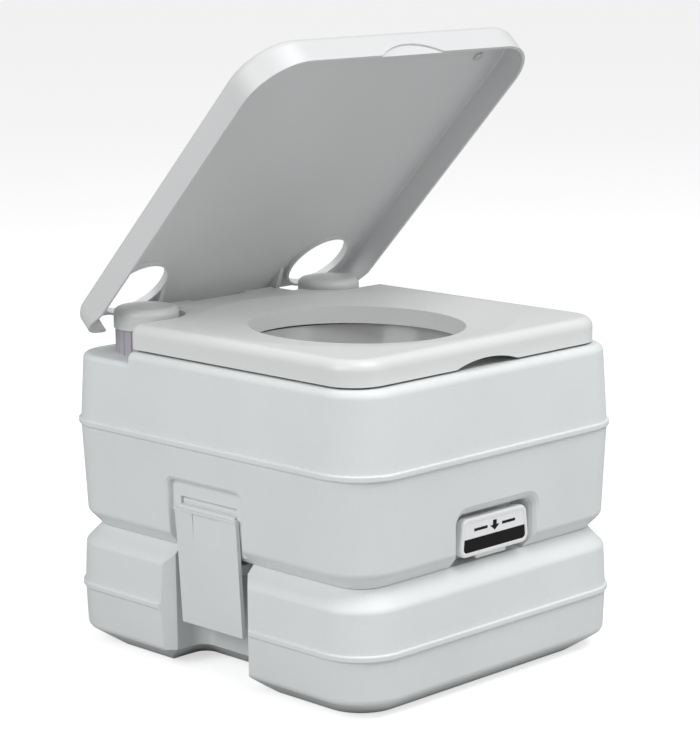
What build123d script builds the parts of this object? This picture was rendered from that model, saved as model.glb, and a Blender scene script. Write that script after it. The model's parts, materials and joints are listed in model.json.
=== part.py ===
from build123d import *

import os
from math import cos, radians, sin, tan

# Portable camp toilet: a waste tank below, a flush tank with bowl, seat and lid above.
# Millimetres, +Z up, the pull handle faces -Y, the hinge is at +Y.
# The origin is on the floor, under the middle of the tanks.
# It stands with the lid part open and everything else closed.

# Overall sizes
WIDTH = 365.0  # across the side walls, at the beads
DEPTH = 410.0  # front to back, at the beads
CORNER_R = 47.5  # corner radius of the tanks at the beads
WALL = 2.5  # tank wall
BEAD_HEIGHT = 6.0
BEAD_PROUD = 1.2
BEAD_ROUND = 1.6
TANK_EDGE_R = 7.0  # rounding of the long edges of both tanks
CLEAR = 0.4  # gap between pieces that move past each other
RUNNING = 0.05  # radial gap of a pin in its bore

# Waste tank
WASTE_H = 118.6
WASTE_SHOULDER_Z = 102.0
BASE_CHAMFER_Z = 17.5
WASTE_BEAD_Z = 60.0
BASE_INSET = 27.0
BASE_CORNER_R = 37.0
WASTE_WALL_INSET = 2.8
WAIST_INSET = 18.9

# Flush tank
TANK_GAP = 0.4
FLUSH_TOP_Z = 298.0
FLUSH_SHOULDER_Z = 133.0
FLUSH_SHOULDER_INSET = 5.5
FLUSH_BEAD_Z = 222.0
BEAD_LINE_INSET = 0.9
FLUSH_TOP_INSET = 5.6
DECK_Z = FLUSH_TOP_Z - 10.5  # lower deck behind the seat
DECK_Y = DEPTH / 2 - 99.0
TOP_EDGE_R = 7.5
DECK_EDGE_R = 5.0

# Side latches and their recesses
LATCH_Y = 2.0
LATCH_WIDTH = 83.0
LATCH_THICK = 4.2
LATCH_TOP_Z = 160.0
LATCH_BOTTOM_Z = 47.0
LATCH_FACE_X = WIDTH / 2 - 5.1  # outer face at its top edge
LATCH_LEAN = 3.3  # degrees, bottom edge inward
LATCH_PRESS = 2.5  # degrees that it turns further inward to hook under the lug
LATCH_PIVOT_X = LATCH_FACE_X - 11.4
LATCH_PIVOT_Z = 165.5
LATCH_BARREL_R = 4.0
LATCH_PIN_R = 2.0
LATCH_PANEL_WIDTH = 37.0
LATCH_PANEL_Z = (129.0, 158.0)
LATCH_PANEL_DEPTH = 1.6
LATCH_RAIL = (85.0, 2.0)  # length and height of the rail along the top edge
LATCH_RAIL_PROUD = 1.5
LATCH_TOOTH_Z = (95.0, 101.5)
LATCH_LUG_Z = (103.0, 113.0)
LATCH_LUG_X = LATCH_FACE_X - 17.2
LATCH_LUG_WIDTH = 60.0
RECESS_HALF = 50.0  # half length of the waste tank's latch recess
RECESS_FLOOR_X = WIDTH / 2 - 45.0
RECESS_FLARE = 11.7
RECESS_CORNER_R = 14.0
UPPER_RECESS_HALF = 49.5
UPPER_RECESS_FLOOR_X = LATCH_FACE_X - 4.8  # at the latch's top edge
UPPER_RECESS_TOP_Z = 185.5
UPPER_RECESS_R = 6.0
SLOT_HALF = 38.5
SLOT_Z = (158.0, 170.2)
SLOT_DEPTH = 14.0

# Slide valve
VALVE_Y = -20.0  # centre of the bowl, the valve and the seat opening
VALVE_BORE_R = 42.0
VALVE_WIDTH = 132.0
VALVE_REAR_Y = 44.0
VALVE_FRONT_Y = -112.0
VALVE_BASE_H = 8.0
VALVE_COVER_H = 8.0
BLADE_THICK = 3.0
BLADE_HALF = 48.0
STEM_WIDTH = 30.0
STEM_THICK = 5.0
SCREW_R = 2.0
SCREW_HEAD_R = 4.0
SCREW_HEAD_H = 2.0
TUNNEL_HALF = 72.0
TUNNEL_FRONT_Y = 40.0 - DEPTH / 2
TUNNEL_REAR_Y = 52.0
TUNNEL_TOP_Z = 141.5

# Pull handle and its recess
PULL_X = -0.5
PULL_RECESS_HALF = 50.5
PULL_RECESS_TOP_Z = 167.5
PULL_RECESS_BACK_Y = 33.0 - DEPTH / 2
PULL_RECESS_R = 9.0
PULL_WIDTH = 95.0  # along its bottom edge
PULL_TOP_WIDTH = 87.0
PULL_HEIGHT = 36.0
PULL_BOTTOM_Z = 127.5
PULL_FRONT_Y = 7.5 - DEPTH / 2
PULL_THICK = 8.0
PULL_CORNER_R = 8.0
LABEL_MARGIN = 4.0
LABEL_DEPTH = 0.8
NECK_WIDTH = 40.0
NECK_THICK = 3.0

# Bowl
BOWL_R = 112.0
BOWL_WALL = 3.0
BOWL_FLANGE_R = 121.0
BOWL_FLANGE_H = 2.5
BOWL_NECK_Z = 160.0

# Seat
SEAT_BOTTOM_Z = FLUSH_TOP_Z + 2.0
SEAT_TOP_Z = SEAT_BOTTOM_Z + 23.5
SEAT_HALF = WIDTH / 2 - 12.2
SEAT_FRONT_Y = 17.2 - DEPTH / 2
SEAT_CORNER_R = 34.0
SEAT_EDGE_R = 10.0
SEAT_TONGUE_HALF = 73.0
SEAT_REAR_Y = DEPTH / 2 - 37.5
SEAT_WALL = 3.0
SEAT_SKIN = 3.5
THROAT = (98.0, 110.0)  # half axes of the opening
DISH = (154.0, 152.0)  # half axes of the dished rim around it
DISH_DEPTH = 6.5
CAP_NOTCH_R = 38.0
SEAT_SHOULDER_Y = DEPTH / 2 - 94.0  # where the seat's sides end, beside the caps
SEAT_SHOULDER_R = 6.0
SEAT_NOTCH_HALF = 41.5
SEAT_NOTCH_H = 6.5
BUMPER_R = 5.0
BUMPER_H = 1.9

# Lid
LID_OPEN = 46.0  # degrees from closed
LID_HALF = WIDTH / 2 - 2.0
LID_FRONT_Y = 5.0 - DEPTH / 2
LID_REAR_Y = DEPTH / 2 - 19.0
LID_RIM_Z = FLUSH_TOP_Z + 0.5
LID_DEPTH = 30.0
LID_WALL = 3.0
LID_FRONT_R = 52.0
LID_REAR_R = 30.0
LID_EDGE_R = 9.0
LID_INNER_R = 2.5
LID_TRIM_Y = LID_REAR_Y - 43.0
LID_TRIM_ANGLE = 12.5
LID_REAR_WALL_X = LID_HALF - 34.5
LID_HOLE_R = 35.0
LID_COLLAR_H = 4.0
LID_NOTCH_HALF = 40.5
LID_NOTCH_H = 12.0
LID_NOTCH_DEPTH = 2.0

# Hinge
HINGE_Y = DEPTH / 2 - 26.7
HINGE_Z = SEAT_BOTTOM_Z + 16.0
HINGE_PIN_R = 3.0
EAR_R = 7.0
EAR_THICK = 6.0
INNER_EAR_X = 40.0
OUTER_EAR_X = 73.0
LID_EAR_X = 80.0
LID_EAR_THICK = 5.0
BRACKET_PLATE_H = 3.0
BRACKET_DEPTH = 38.0
BRACKET_MARGIN = 6.0

# Pump and fill cap
CAP_X = WIDTH / 2 - 59.5
CAP_Y = DEPTH / 2 - 62.5
CAP_R = 31.5
CAP_BOTTOM_Z = DECK_Z + 24.5
CAP_TOP_Z = CAP_BOTTOM_Z + 20.0
CAP_ROUND = 7.0
CAP_WALL = 1.3
CAP_TOP_WALL = 3.0
COLLAR_R = 29.0
COLLAR_WALL = 4.0
COLLAR_RIB_R = 1.2
COLLAR_RIBS = 20
COLLAR_LAP = 1.0
PUMP_BORE_R = 21.5
PUMP_TUBE_WALL = 2.0
PUMP_TUBE_BOTTOM_Z = DECK_Z - 42.5
BELLOWS_R = (16.0, 22.0)
BELLOWS_FOLDS = 5
BELLOWS_WALL = 1.0
DIP_R = 5.0
DIP_WALL = 1.5
DIP_BOTTOM_Z = 128.0
BALL_R = 6.0
FILL_NECK_R = 26.0
FILL_NECK_WALL = 2.5
HOSE_R = 6.0
HOSE_WALL = 1.5
HOSE_Z = DECK_Z - 25.5
HOSE_BEND_R = 28.0

# Pour spout, stowed in the waste tank's rear recess
SPOUT_X = -60.0
SPOUT_Y = DEPTH / 2 - 40.0
SPOUT_R = 21.4
SPOUT_WALL = 2.4
SPOUT_Z = 80.0
SPOUT_LENGTH = 135.0
SPOUT_FLOOR_Z = 30.0
SPOUT_BEND_R = 24.0
SPOUT_COLLAR_R = 28.0
SPOUT_COLLAR_H = 12.0
SPOUT_RECESS_X = (-96.0, 104.0)
SPOUT_RECESS_Y = DEPTH / 2 - 71.0
SPOUT_RECESS_R = 12.0
SPOUT_CAP_R = 25.0
SPOUT_CAP_LENGTH = 20.0

BEYOND = 20.0  # how far cutters run past a wall
FLARE_STEPS = 5  # facets of the rounded mouth of a recess
LATCH_MOUTH_R = 4.0
PULL_MOUTH_R = 12.0


os.makedirs("parts", exist_ok=True)


def write(name, part):
    """Label a finished piece and write it as a STEP file of the same name."""
    part.label = name
    export_step(part, f"parts/{name}.step")


def tank_body(profile, shrink=0.0):
    """Loft rounded rectangles; profile holds (height, inset, corner radius)."""
    with BuildPart() as body:
        for height, inset, corner in profile:
            gap = 2 * (inset + shrink)
            with BuildSketch(Plane.XY.offset(height)):
                RectangleRounded(WIDTH - gap, DEPTH - gap, max(corner - shrink, 5.0))
        loft(ruled=True)
    return body.part


def bead(height):
    """The rounded rib that runs round a tank."""
    with BuildPart() as rib:
        with BuildSketch(Plane.XY.offset(height - BEAD_HEIGHT / 2)):
            RectangleRounded(WIDTH + 2 * BEAD_PROUD, DEPTH + 2 * BEAD_PROUD, CORNER_R + BEAD_PROUD)
            RectangleRounded(WIDTH - 4 * BEAD_PROUD, DEPTH - 4 * BEAD_PROUD, CORNER_R - 2 * BEAD_PROUD,
                             mode=Mode.SUBTRACT)
        extrude(amount=BEAD_HEIGHT)
        rings = rib.faces().filter_by(Axis.Z)
        outer = [max(face.wires(), key=lambda wire: wire.length) for face in rings]
        fillet([edge for wire in outer for edge in wire.edges()], BEAD_ROUND)
    return rib.part


def ring(centre, bottom, top, outer, inner):
    """A plain upright ring."""
    with BuildPart() as body:
        with BuildSketch(Plane.XY.offset(bottom)):
            with Locations(centre):
                Circle(outer)
                Circle(inner, mode=Mode.SUBTRACT)
        extrude(amount=top - bottom)
    return body.part


def block(x_range, y_range, z_range, corner=0.0):
    """An upright block between pairs of limits, with rounded upright edges."""
    with BuildPart() as body:
        with BuildSketch(Plane.XY.offset(z_range[0])):
            with Locations((sum(x_range) / 2, sum(y_range) / 2)):
                if corner:
                    RectangleRounded(x_range[1] - x_range[0], y_range[1] - y_range[0], corner)
                else:
                    Rectangle(x_range[1] - x_range[0], y_range[1] - y_range[0])
        extrude(amount=z_range[1] - z_range[0])
    return body.part


def rounded_mouth(start, outward, centre, size, corner, mouth_r, reach):
    """Cutter for the rounded mouth of a recess; start is where the rounding begins."""
    with BuildPart() as mouth:
        for step in range(FLARE_STEPS + 1):
            angle = radians(90.0 * step / FLARE_STEPS)
            depth = mouth_r * sin(angle)
            grown = mouth_r * (1 - cos(angle))
            if step == FLARE_STEPS:
                depth, grown = mouth_r + reach, mouth_r + reach
            with BuildSketch(start.offset(outward * depth)):
                with Locations(centre):
                    RectangleRounded(size[0] + 2 * grown, size[1] + 2 * grown, corner + grown)
        loft(ruled=True)
    return mouth.part


# ---------------------------------------------------------------- waste tank

def recess_outline(spread):
    """Plan of the waste tank's latch recess on the -X side, spread outward by a distance."""
    floor_x = -RECESS_FLOOR_X + spread
    half = RECESS_HALF + spread
    flare_x = -(WIDTH / 2 - RECESS_FLARE) + spread * tan(radians(22.5))
    mouth_x = -WIDTH / 2 - BEYOND
    mouth = half + flare_x - mouth_x
    return [(floor_x, LATCH_Y - half), (floor_x, LATCH_Y + half), (flare_x, LATCH_Y + half),
            (mouth_x, LATCH_Y + mouth), (mouth_x, LATCH_Y - mouth), (flare_x, LATCH_Y - half)]


def recess_plan(z, spread):
    """The recess outline at height z, with rounded inner corners."""
    with BuildSketch(Plane.XY.offset(z)) as plan:
        Polygon(recess_outline(spread), align=None)
        fillet(plan.vertices().group_by(Axis.X)[-1], RECESS_CORNER_R)
    return plan.sketch


def waste_recess(spread=0.0):
    """Latch recess of the waste tank: the base chamfer wraps round it."""
    chamfer_spread = BASE_INSET - WASTE_WALL_INSET
    with BuildPart() as recess:
        add(recess_plan(BASE_CHAMFER_Z, spread))
        extrude(amount=WASTE_H + BEYOND - BASE_CHAMFER_Z)
        loft([recess_plan(0.0, spread + chamfer_spread), recess_plan(BASE_CHAMFER_Z, spread)], ruled=True)
    return recess.part


def spout_recess(spread=0.0):
    """The open-topped recess at the rear that holds the pour spout."""
    return block((SPOUT_RECESS_X[0] - spread, SPOUT_RECESS_X[1] + spread),
                 (SPOUT_RECESS_Y - spread, DEPTH / 2 + BEYOND),
                 (SPOUT_FLOOR_Z - spread, WASTE_H + BEYOND), SPOUT_RECESS_R)


waste_profile = [
    (0.0, BASE_INSET, BASE_CORNER_R),
    (BASE_CHAMFER_Z, WASTE_WALL_INSET, CORNER_R - WASTE_WALL_INSET),
    (WASTE_BEAD_Z, BEAD_LINE_INSET, CORNER_R - BEAD_LINE_INSET),
    (WASTE_SHOULDER_Z, WASTE_WALL_INSET, CORNER_R - WASTE_WALL_INSET),
    (WASTE_H, WAIST_INSET, CORNER_R - WAIST_INSET),
]
waste_inner_profile = [
    (WALL, BASE_INSET, BASE_CORNER_R),
    *waste_profile[1:-1],
    (WASTE_H - WALL, WAIST_INSET, CORNER_R - WAIST_INSET),
]

with BuildPart() as waste_cavity:
    add(tank_body(waste_inner_profile, WALL))
    for about in (None, Plane.YZ):
        recess = waste_recess(WALL)
        add(mirror(recess, about=about) if about else recess, mode=Mode.SUBTRACT)
    add(spout_recess(WALL), mode=Mode.SUBTRACT)

with BuildPart() as waste_tank:
    add(tank_body(waste_profile))
    for ring_z in (BASE_CHAMFER_Z, WASTE_SHOULDER_Z):
        fillet(waste_tank.edges().filter_by_position(Axis.Z, ring_z - 0.1, ring_z + 0.1), TANK_EDGE_R)
    add(bead(WASTE_BEAD_Z))
    for about in (None, Plane.YZ):
        recess = waste_recess()
        add(mirror(recess, about=about) if about else recess, mode=Mode.SUBTRACT)
    add(spout_recess(), mode=Mode.SUBTRACT)
    add(waste_cavity.part, mode=Mode.SUBTRACT)
    # the lugs that the latch teeth hook under
    for side in (-1, 1):
        lug_length = LATCH_LUG_X - RECESS_FLOOR_X + WALL
        with BuildSketch(Plane.XY.offset(LATCH_LUG_Z[0])):
            with Locations((side * (LATCH_LUG_X - lug_length / 2), LATCH_Y)):
                Rectangle(lug_length, LATCH_LUG_WIDTH)
        extrude(amount=LATCH_LUG_Z[1] - LATCH_LUG_Z[0])
    # inlet under the valve, and the way to the pour spout
    with Locations((0, VALVE_Y, WASTE_H)):
        Hole(VALVE_BORE_R, depth=2 * WALL)
    with Locations((SPOUT_X, SPOUT_Y, SPOUT_FLOOR_Z)):
        Hole(SPOUT_R - SPOUT_WALL, depth=2 * WALL)
write("waste_tank", waste_tank.part)

# ---------------------------------------------------------------- slide valve

VALVE_BASE_TOP_Z = WASTE_H + VALVE_BASE_H
BLADE_Z = VALVE_BASE_TOP_Z - BLADE_THICK - CLEAR
VALVE_TOP_Z = VALVE_BASE_TOP_Z + VALVE_COVER_H
LIP_TOP_Z = TUNNEL_TOP_Z - CLEAR
VALVE_MID_Y = (VALVE_FRONT_Y + VALVE_REAR_Y) / 2
VALVE_LENGTH = VALVE_REAR_Y - VALVE_FRONT_Y
GASKET_R = VALVE_BORE_R + 6.0
GASKET_H = 2.0
screw_points = [(side * (VALVE_WIDTH / 2 - 7.0), y)
                for side in (-1, 1)
                for y in (VALVE_REAR_Y - 9.0, VALVE_MID_Y, VALVE_FRONT_Y + 9.0)]

write("inlet_gasket", ring((0, VALVE_Y), WASTE_H, WASTE_H + GASKET_H, GASKET_R, VALVE_BORE_R))

with BuildPart() as valve_base:
    with BuildSketch(Plane.XY.offset(WASTE_H)):
        with Locations((0, VALVE_MID_Y)):
            RectangleRounded(VALVE_WIDTH, VALVE_LENGTH, 8.0)
    extrude(amount=VALVE_BASE_H)
    with Locations((0, VALVE_Y, VALVE_BASE_TOP_Z)):
        Hole(VALVE_BORE_R, depth=VALVE_BASE_H)
    with BuildSketch(Plane.XY.offset(WASTE_H)):
        with Locations((0, VALVE_Y)):
            Circle(GASKET_R)
    extrude(amount=GASKET_H, mode=Mode.SUBTRACT)
    # the track that the blade slides in, open at the front
    track_half = BLADE_HALF + CLEAR
    track_rear = VALVE_Y + BLADE_HALF + CLEAR
    add(block((-track_half, track_half), (VALVE_FRONT_Y - BEYOND, track_rear),
              (BLADE_Z - CLEAR, VALVE_BASE_TOP_Z)), mode=Mode.SUBTRACT)
    with Locations(*[(x, y, VALVE_BASE_TOP_Z) for x, y in screw_points]):
        Hole(SCREW_R, depth=VALVE_BASE_H)
write("valve_base", valve_base.part)

with BuildPart() as valve_cover:
    with BuildSketch(Plane.XY.offset(VALVE_BASE_TOP_Z)):
        with Locations((0, VALVE_MID_Y)):
            RectangleRounded(VALVE_WIDTH, VALVE_LENGTH, 8.0)
    extrude(amount=VALVE_COVER_H)
    with Locations((0, VALVE_Y, VALVE_TOP_Z)):
        CounterBoreHole(VALVE_BORE_R, GASKET_R, 3.0, depth=VALVE_COVER_H)
    with Locations(*[(x, y, VALVE_TOP_Z) for x, y in screw_points]):
        CounterBoreHole(SCREW_R, SCREW_HEAD_R, SCREW_HEAD_H, depth=VALVE_COVER_H)
write("valve_cover", valve_cover.part)

with BuildPart() as valve_screws:
    with BuildSketch(Plane.XY.offset(WASTE_H + 1.0)):
        with Locations(*screw_points):
            Circle(SCREW_R)
    extrude(amount=VALVE_TOP_Z - SCREW_HEAD_H - WASTE_H - 1.0)
    with BuildSketch(Plane.XY.offset(VALVE_TOP_Z - SCREW_HEAD_H)):
        with Locations(*screw_points):
            Circle(SCREW_HEAD_R)
    extrude(amount=SCREW_HEAD_H)
write("valve_screws", valve_screws.part)

write("valve_lip_seal", ring((0, VALVE_Y), VALVE_TOP_Z - 3.0, LIP_TOP_Z, GASKET_R, VALVE_BORE_R))

with BuildPart() as valve_blade:
    with BuildSketch(Plane.XY.offset(BLADE_Z)):
        with Locations((0, VALVE_Y)):
            RectangleRounded(2 * BLADE_HALF, 2 * BLADE_HALF, 12.0)
    extrude(amount=BLADE_THICK)
write("valve_blade", valve_blade.part)

STEM_REAR_Y = VALVE_Y - BLADE_HALF
PULL_BACK_Y = PULL_FRONT_Y + PULL_THICK
with BuildPart() as valve_stem:
    with BuildSketch(Plane.XY.offset(BLADE_Z)):
        with Locations((0, (STEM_REAR_Y + PULL_BACK_Y) / 2)):
            Rectangle(STEM_WIDTH, STEM_REAR_Y - PULL_BACK_Y)
    extrude(amount=BLADE_THICK)
    # a stiffening rib that ends short of the valve's cover
    rib_rear = VALVE_FRONT_Y - 4.0
    with BuildSketch(Plane.XY.offset(BLADE_Z + BLADE_THICK)):
        with Locations((0, (rib_rear + PULL_BACK_Y) / 2)):
            Rectangle(STEM_THICK, rib_rear - PULL_BACK_Y)
    extrude(amount=STEM_THICK)
write("valve_stem", valve_stem.part)


def pull_outline(margin):
    """The pull plate's outline, inset by a margin: a little wider below than above."""
    low, high = -PULL_HEIGHT / 2 + margin, PULL_HEIGHT / 2 - margin
    with BuildSketch() as outline:
        Polygon([(-PULL_WIDTH / 2 + margin, low), (PULL_WIDTH / 2 - margin, low),
                 (PULL_TOP_WIDTH / 2 - margin, high), (-PULL_TOP_WIDTH / 2 + margin, high)], align=None)
        fillet(outline.vertices(), PULL_CORNER_R - margin)
    return outline.sketch


with BuildPart() as pull_handle:
    with BuildSketch(Plane.XZ.offset(-PULL_BACK_Y)):
        with Locations((PULL_X, PULL_BOTTOM_Z + PULL_HEIGHT / 2)):
            add(pull_outline(0.0))
    extrude(amount=PULL_THICK)
    front = pull_handle.faces().sort_by(Axis.Y)[0]
    fillet(front.edges(), 2.0)
    # the sunken field that holds the label
    with BuildSketch(Plane.XZ.offset(-PULL_FRONT_Y)):
        with Locations((PULL_X, PULL_BOTTOM_Z + PULL_HEIGHT / 2)):
            add(pull_outline(LABEL_MARGIN))
    extrude(amount=-LABEL_DEPTH, mode=Mode.SUBTRACT)
    # the neck that reaches down to the stem
    with BuildSketch(Plane.XY.offset(BLADE_Z)):
        with Locations((PULL_X, PULL_BACK_Y - NECK_THICK / 2)):
            Rectangle(NECK_WIDTH, NECK_THICK)
    extrude(amount=PULL_BOTTOM_Z + 4.0 - BLADE_Z)
write("pull_handle", pull_handle.part)

with BuildPart() as handle_label:
    with BuildSketch(Plane.XZ.offset(-PULL_FRONT_Y - LABEL_DEPTH)):
        with Locations((PULL_X, PULL_BOTTOM_Z + PULL_HEIGHT / 2)):
            add(pull_outline(LABEL_MARGIN))
    extrude(amount=LABEL_DEPTH / 2)
write("handle_label", handle_label.part)

# ---------------------------------------------------------------- pour spout

write("spout_collar", ring((SPOUT_X, SPOUT_Y), SPOUT_FLOOR_Z, SPOUT_FLOOR_Z + SPOUT_COLLAR_H,
                           SPOUT_COLLAR_R, SPOUT_R + RUNNING))

SPOUT_FOOT_Z = SPOUT_FLOOR_Z + CLEAR
SPOUT_END_X = SPOUT_X + SPOUT_LENGTH


def spout_tube(radius, overrun):
    """A tube along the spout's bent path, run on at both ends by overrun."""
    with BuildPart() as tube:
        with BuildLine() as path:
            FilletPolyline((SPOUT_X, SPOUT_Y, SPOUT_FOOT_Z - overrun), (SPOUT_X, SPOUT_Y, SPOUT_Z),
                           (SPOUT_END_X + overrun, SPOUT_Y, SPOUT_Z), radius=SPOUT_BEND_R)
        with BuildSketch(Plane.XY.offset(SPOUT_FOOT_Z - overrun)):
            with Locations((SPOUT_X, SPOUT_Y)):
                Circle(radius)
        sweep(path=path.line)
    return tube.part


with BuildPart() as pour_spout:
    add(spout_tube(SPOUT_R, 0.0))
    add(spout_tube(SPOUT_R - SPOUT_WALL, 1.0), mode=Mode.SUBTRACT)
write("pour_spout", pour_spout.part)

SPOUT_CAP_START_X = SPOUT_END_X - SPOUT_CAP_LENGTH + 4.0
SPOUT_CAP_INNER_X = SPOUT_END_X + 2.0
SPOUT_CAP_END_X = SPOUT_CAP_INNER_X + 3.0
with BuildPart() as spout_cap:
    with BuildSketch(Plane.YZ.offset(SPOUT_CAP_START_X)):
        with Locations((SPOUT_Y, SPOUT_Z)):
            Circle(SPOUT_CAP_R)
    extrude(amount=SPOUT_CAP_END_X - SPOUT_CAP_START_X)
    fillet(spout_cap.edges().group_by(Axis.X)[-1], 2.0)
    with BuildSketch(Plane.YZ.offset(SPOUT_CAP_START_X)):
        with Locations((SPOUT_Y, SPOUT_Z)):
            Circle(SPOUT_R + RUNNING)
    extrude(amount=SPOUT_CAP_INNER_X - SPOUT_CAP_START_X, mode=Mode.SUBTRACT)
write("spout_cap", spout_cap.part)

with BuildPart() as spout_cap_seal:
    with BuildSketch(Plane.YZ.offset(SPOUT_END_X + CLEAR)):
        with Locations((SPOUT_Y, SPOUT_Z)):
            Circle(SPOUT_R)
            Circle(SPOUT_R - 2 * SPOUT_WALL, mode=Mode.SUBTRACT)
    extrude(amount=SPOUT_CAP_INNER_X - SPOUT_END_X - CLEAR)
write("spout_cap_seal", spout_cap_seal.part)

# ---------------------------------------------------------------- flush tank

FLUSH_BOTTOM_Z = WASTE_H + TANK_GAP


def latch_recess(spread=0.0):
    """Recess and hinge slot for the latch on the -X side; its floor leans with the pressed latch."""
    mouth_x = -WIDTH / 2 - BEYOND
    floor_x = -UPPER_RECESS_FLOOR_X + spread
    lean = tan(radians(LATCH_LEAN + LATCH_PRESS))
    half = UPPER_RECESS_HALF + spread
    top = UPPER_RECESS_TOP_Z + spread
    bottom = FLUSH_BOTTOM_Z - BEYOND
    with BuildPart() as recess:
        with BuildSketch(Plane.XZ.offset(-LATCH_Y - half)):
            Polygon([(mouth_x, top), (floor_x, top), (floor_x, LATCH_TOP_Z),
                     (floor_x + (LATCH_TOP_Z - bottom) * lean, bottom), (mouth_x, bottom)], align=None)
        extrude(amount=2 * half)
        fillet(recess.edges().filter_by(Axis.X).group_by(Axis.Z)[-1], UPPER_RECESS_R)
        wall_x = -WIDTH / 2 + (FLUSH_SHOULDER_INSET + BEAD_LINE_INSET) / 2
        add(rounded_mouth(Plane.YZ.offset(wall_x + LATCH_MOUTH_R), -1, (LATCH_Y, (top + bottom) / 2),
                          (2 * half, top - bottom), UPPER_RECESS_R, LATCH_MOUTH_R, BEYOND / 2))
        with BuildSketch(Plane.YZ.offset(mouth_x)):
            with Locations((LATCH_Y, sum(SLOT_Z) / 2)):
                Rectangle(2 * (SLOT_HALF + spread), SLOT_Z[1] - SLOT_Z[0] + 2 * spread)
        extrude(amount=-UPPER_RECESS_FLOOR_X + SLOT_DEPTH + spread - mouth_x)
    return recess.part


def pull_recess(spread=0.0):
    """Recess for the pull handle and the tunnel behind it for the valve."""
    front_y = -DEPTH / 2 - BEYOND
    recess_back = PULL_RECESS_BACK_Y + spread
    with BuildPart() as recess:
        with BuildSketch(Plane.XZ.offset(-front_y)):
            with Locations((PULL_X, (FLUSH_BOTTOM_Z + PULL_RECESS_TOP_Z) / 2 - BEYOND)):
                RectangleRounded(2 * (PULL_RECESS_HALF + spread),
                                 PULL_RECESS_TOP_Z - FLUSH_BOTTOM_Z + 2 * (BEYOND + spread),
                                 PULL_RECESS_R)
        extrude(amount=front_y - recess_back)
        wall_y = -DEPTH / 2 + (FLUSH_SHOULDER_INSET + BEAD_LINE_INSET) / 2
        add(rounded_mouth(Plane.XZ.offset(-wall_y - PULL_MOUTH_R), 1,
                          (PULL_X, (FLUSH_BOTTOM_Z + PULL_RECESS_TOP_Z) / 2 - BEYOND),
                          (2 * (PULL_RECESS_HALF + spread),
                           PULL_RECESS_TOP_Z - FLUSH_BOTTOM_Z + 2 * (BEYOND + spread)),
                          PULL_RECESS_R, PULL_MOUTH_R, BEYOND / 2))
        tunnel_half = TUNNEL_HALF + spread
        add(block((-tunnel_half, tunnel_half), (TUNNEL_FRONT_Y - spread, TUNNEL_REAR_Y + spread),
                  (FLUSH_BOTTOM_Z - BEYOND, TUNNEL_TOP_Z + spread)))
        stem_half = STEM_WIDTH / 2 + 6.0 + spread
        add(block((-stem_half, stem_half), (PULL_RECESS_BACK_Y - spread, TUNNEL_FRONT_Y + spread),
                  (FLUSH_BOTTOM_Z - BEYOND, TUNNEL_TOP_Z + spread)))
    return recess.part


flush_profile = [
    (FLUSH_BOTTOM_Z, WAIST_INSET, CORNER_R - WAIST_INSET),
    (FLUSH_SHOULDER_Z, FLUSH_SHOULDER_INSET, CORNER_R - FLUSH_SHOULDER_INSET),
    (FLUSH_BEAD_Z, BEAD_LINE_INSET, CORNER_R - BEAD_LINE_INSET),
    (FLUSH_TOP_Z, FLUSH_TOP_INSET, CORNER_R - FLUSH_TOP_INSET),
]
flush_inner_profile = [
    (FLUSH_BOTTOM_Z + WALL, WAIST_INSET, CORNER_R - WAIST_INSET),
    *flush_profile[1:-1],
    (FLUSH_TOP_Z - WALL, FLUSH_TOP_INSET, CORNER_R - FLUSH_TOP_INSET),
]


def deck_cut(drop):
    """Everything above the rear deck, lowered by drop and brought forward by it."""
    return block((-WIDTH, WIDTH), (DECK_Y - drop, DEPTH), (DECK_Z - drop, FLUSH_TOP_Z + BEYOND))


bracket_x = (INNER_EAR_X + OUTER_EAR_X) / 2
bracket_y = HINGE_Y
hinge_screw_points = [(side * bracket_x, bracket_y + step)
                      for side in (-1, 1)
                      for step in (-BRACKET_DEPTH / 2 + 5.5, BRACKET_DEPTH / 2 - 5.5)]

with BuildPart() as flush_cavity:
    add(tank_body(flush_inner_profile, WALL))
    for about in (None, Plane.YZ):
        recess = latch_recess(WALL)
        add(mirror(recess, about=about) if about else recess, mode=Mode.SUBTRACT)
    add(pull_recess(WALL), mode=Mode.SUBTRACT)
    add(deck_cut(WALL), mode=Mode.SUBTRACT)

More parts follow.
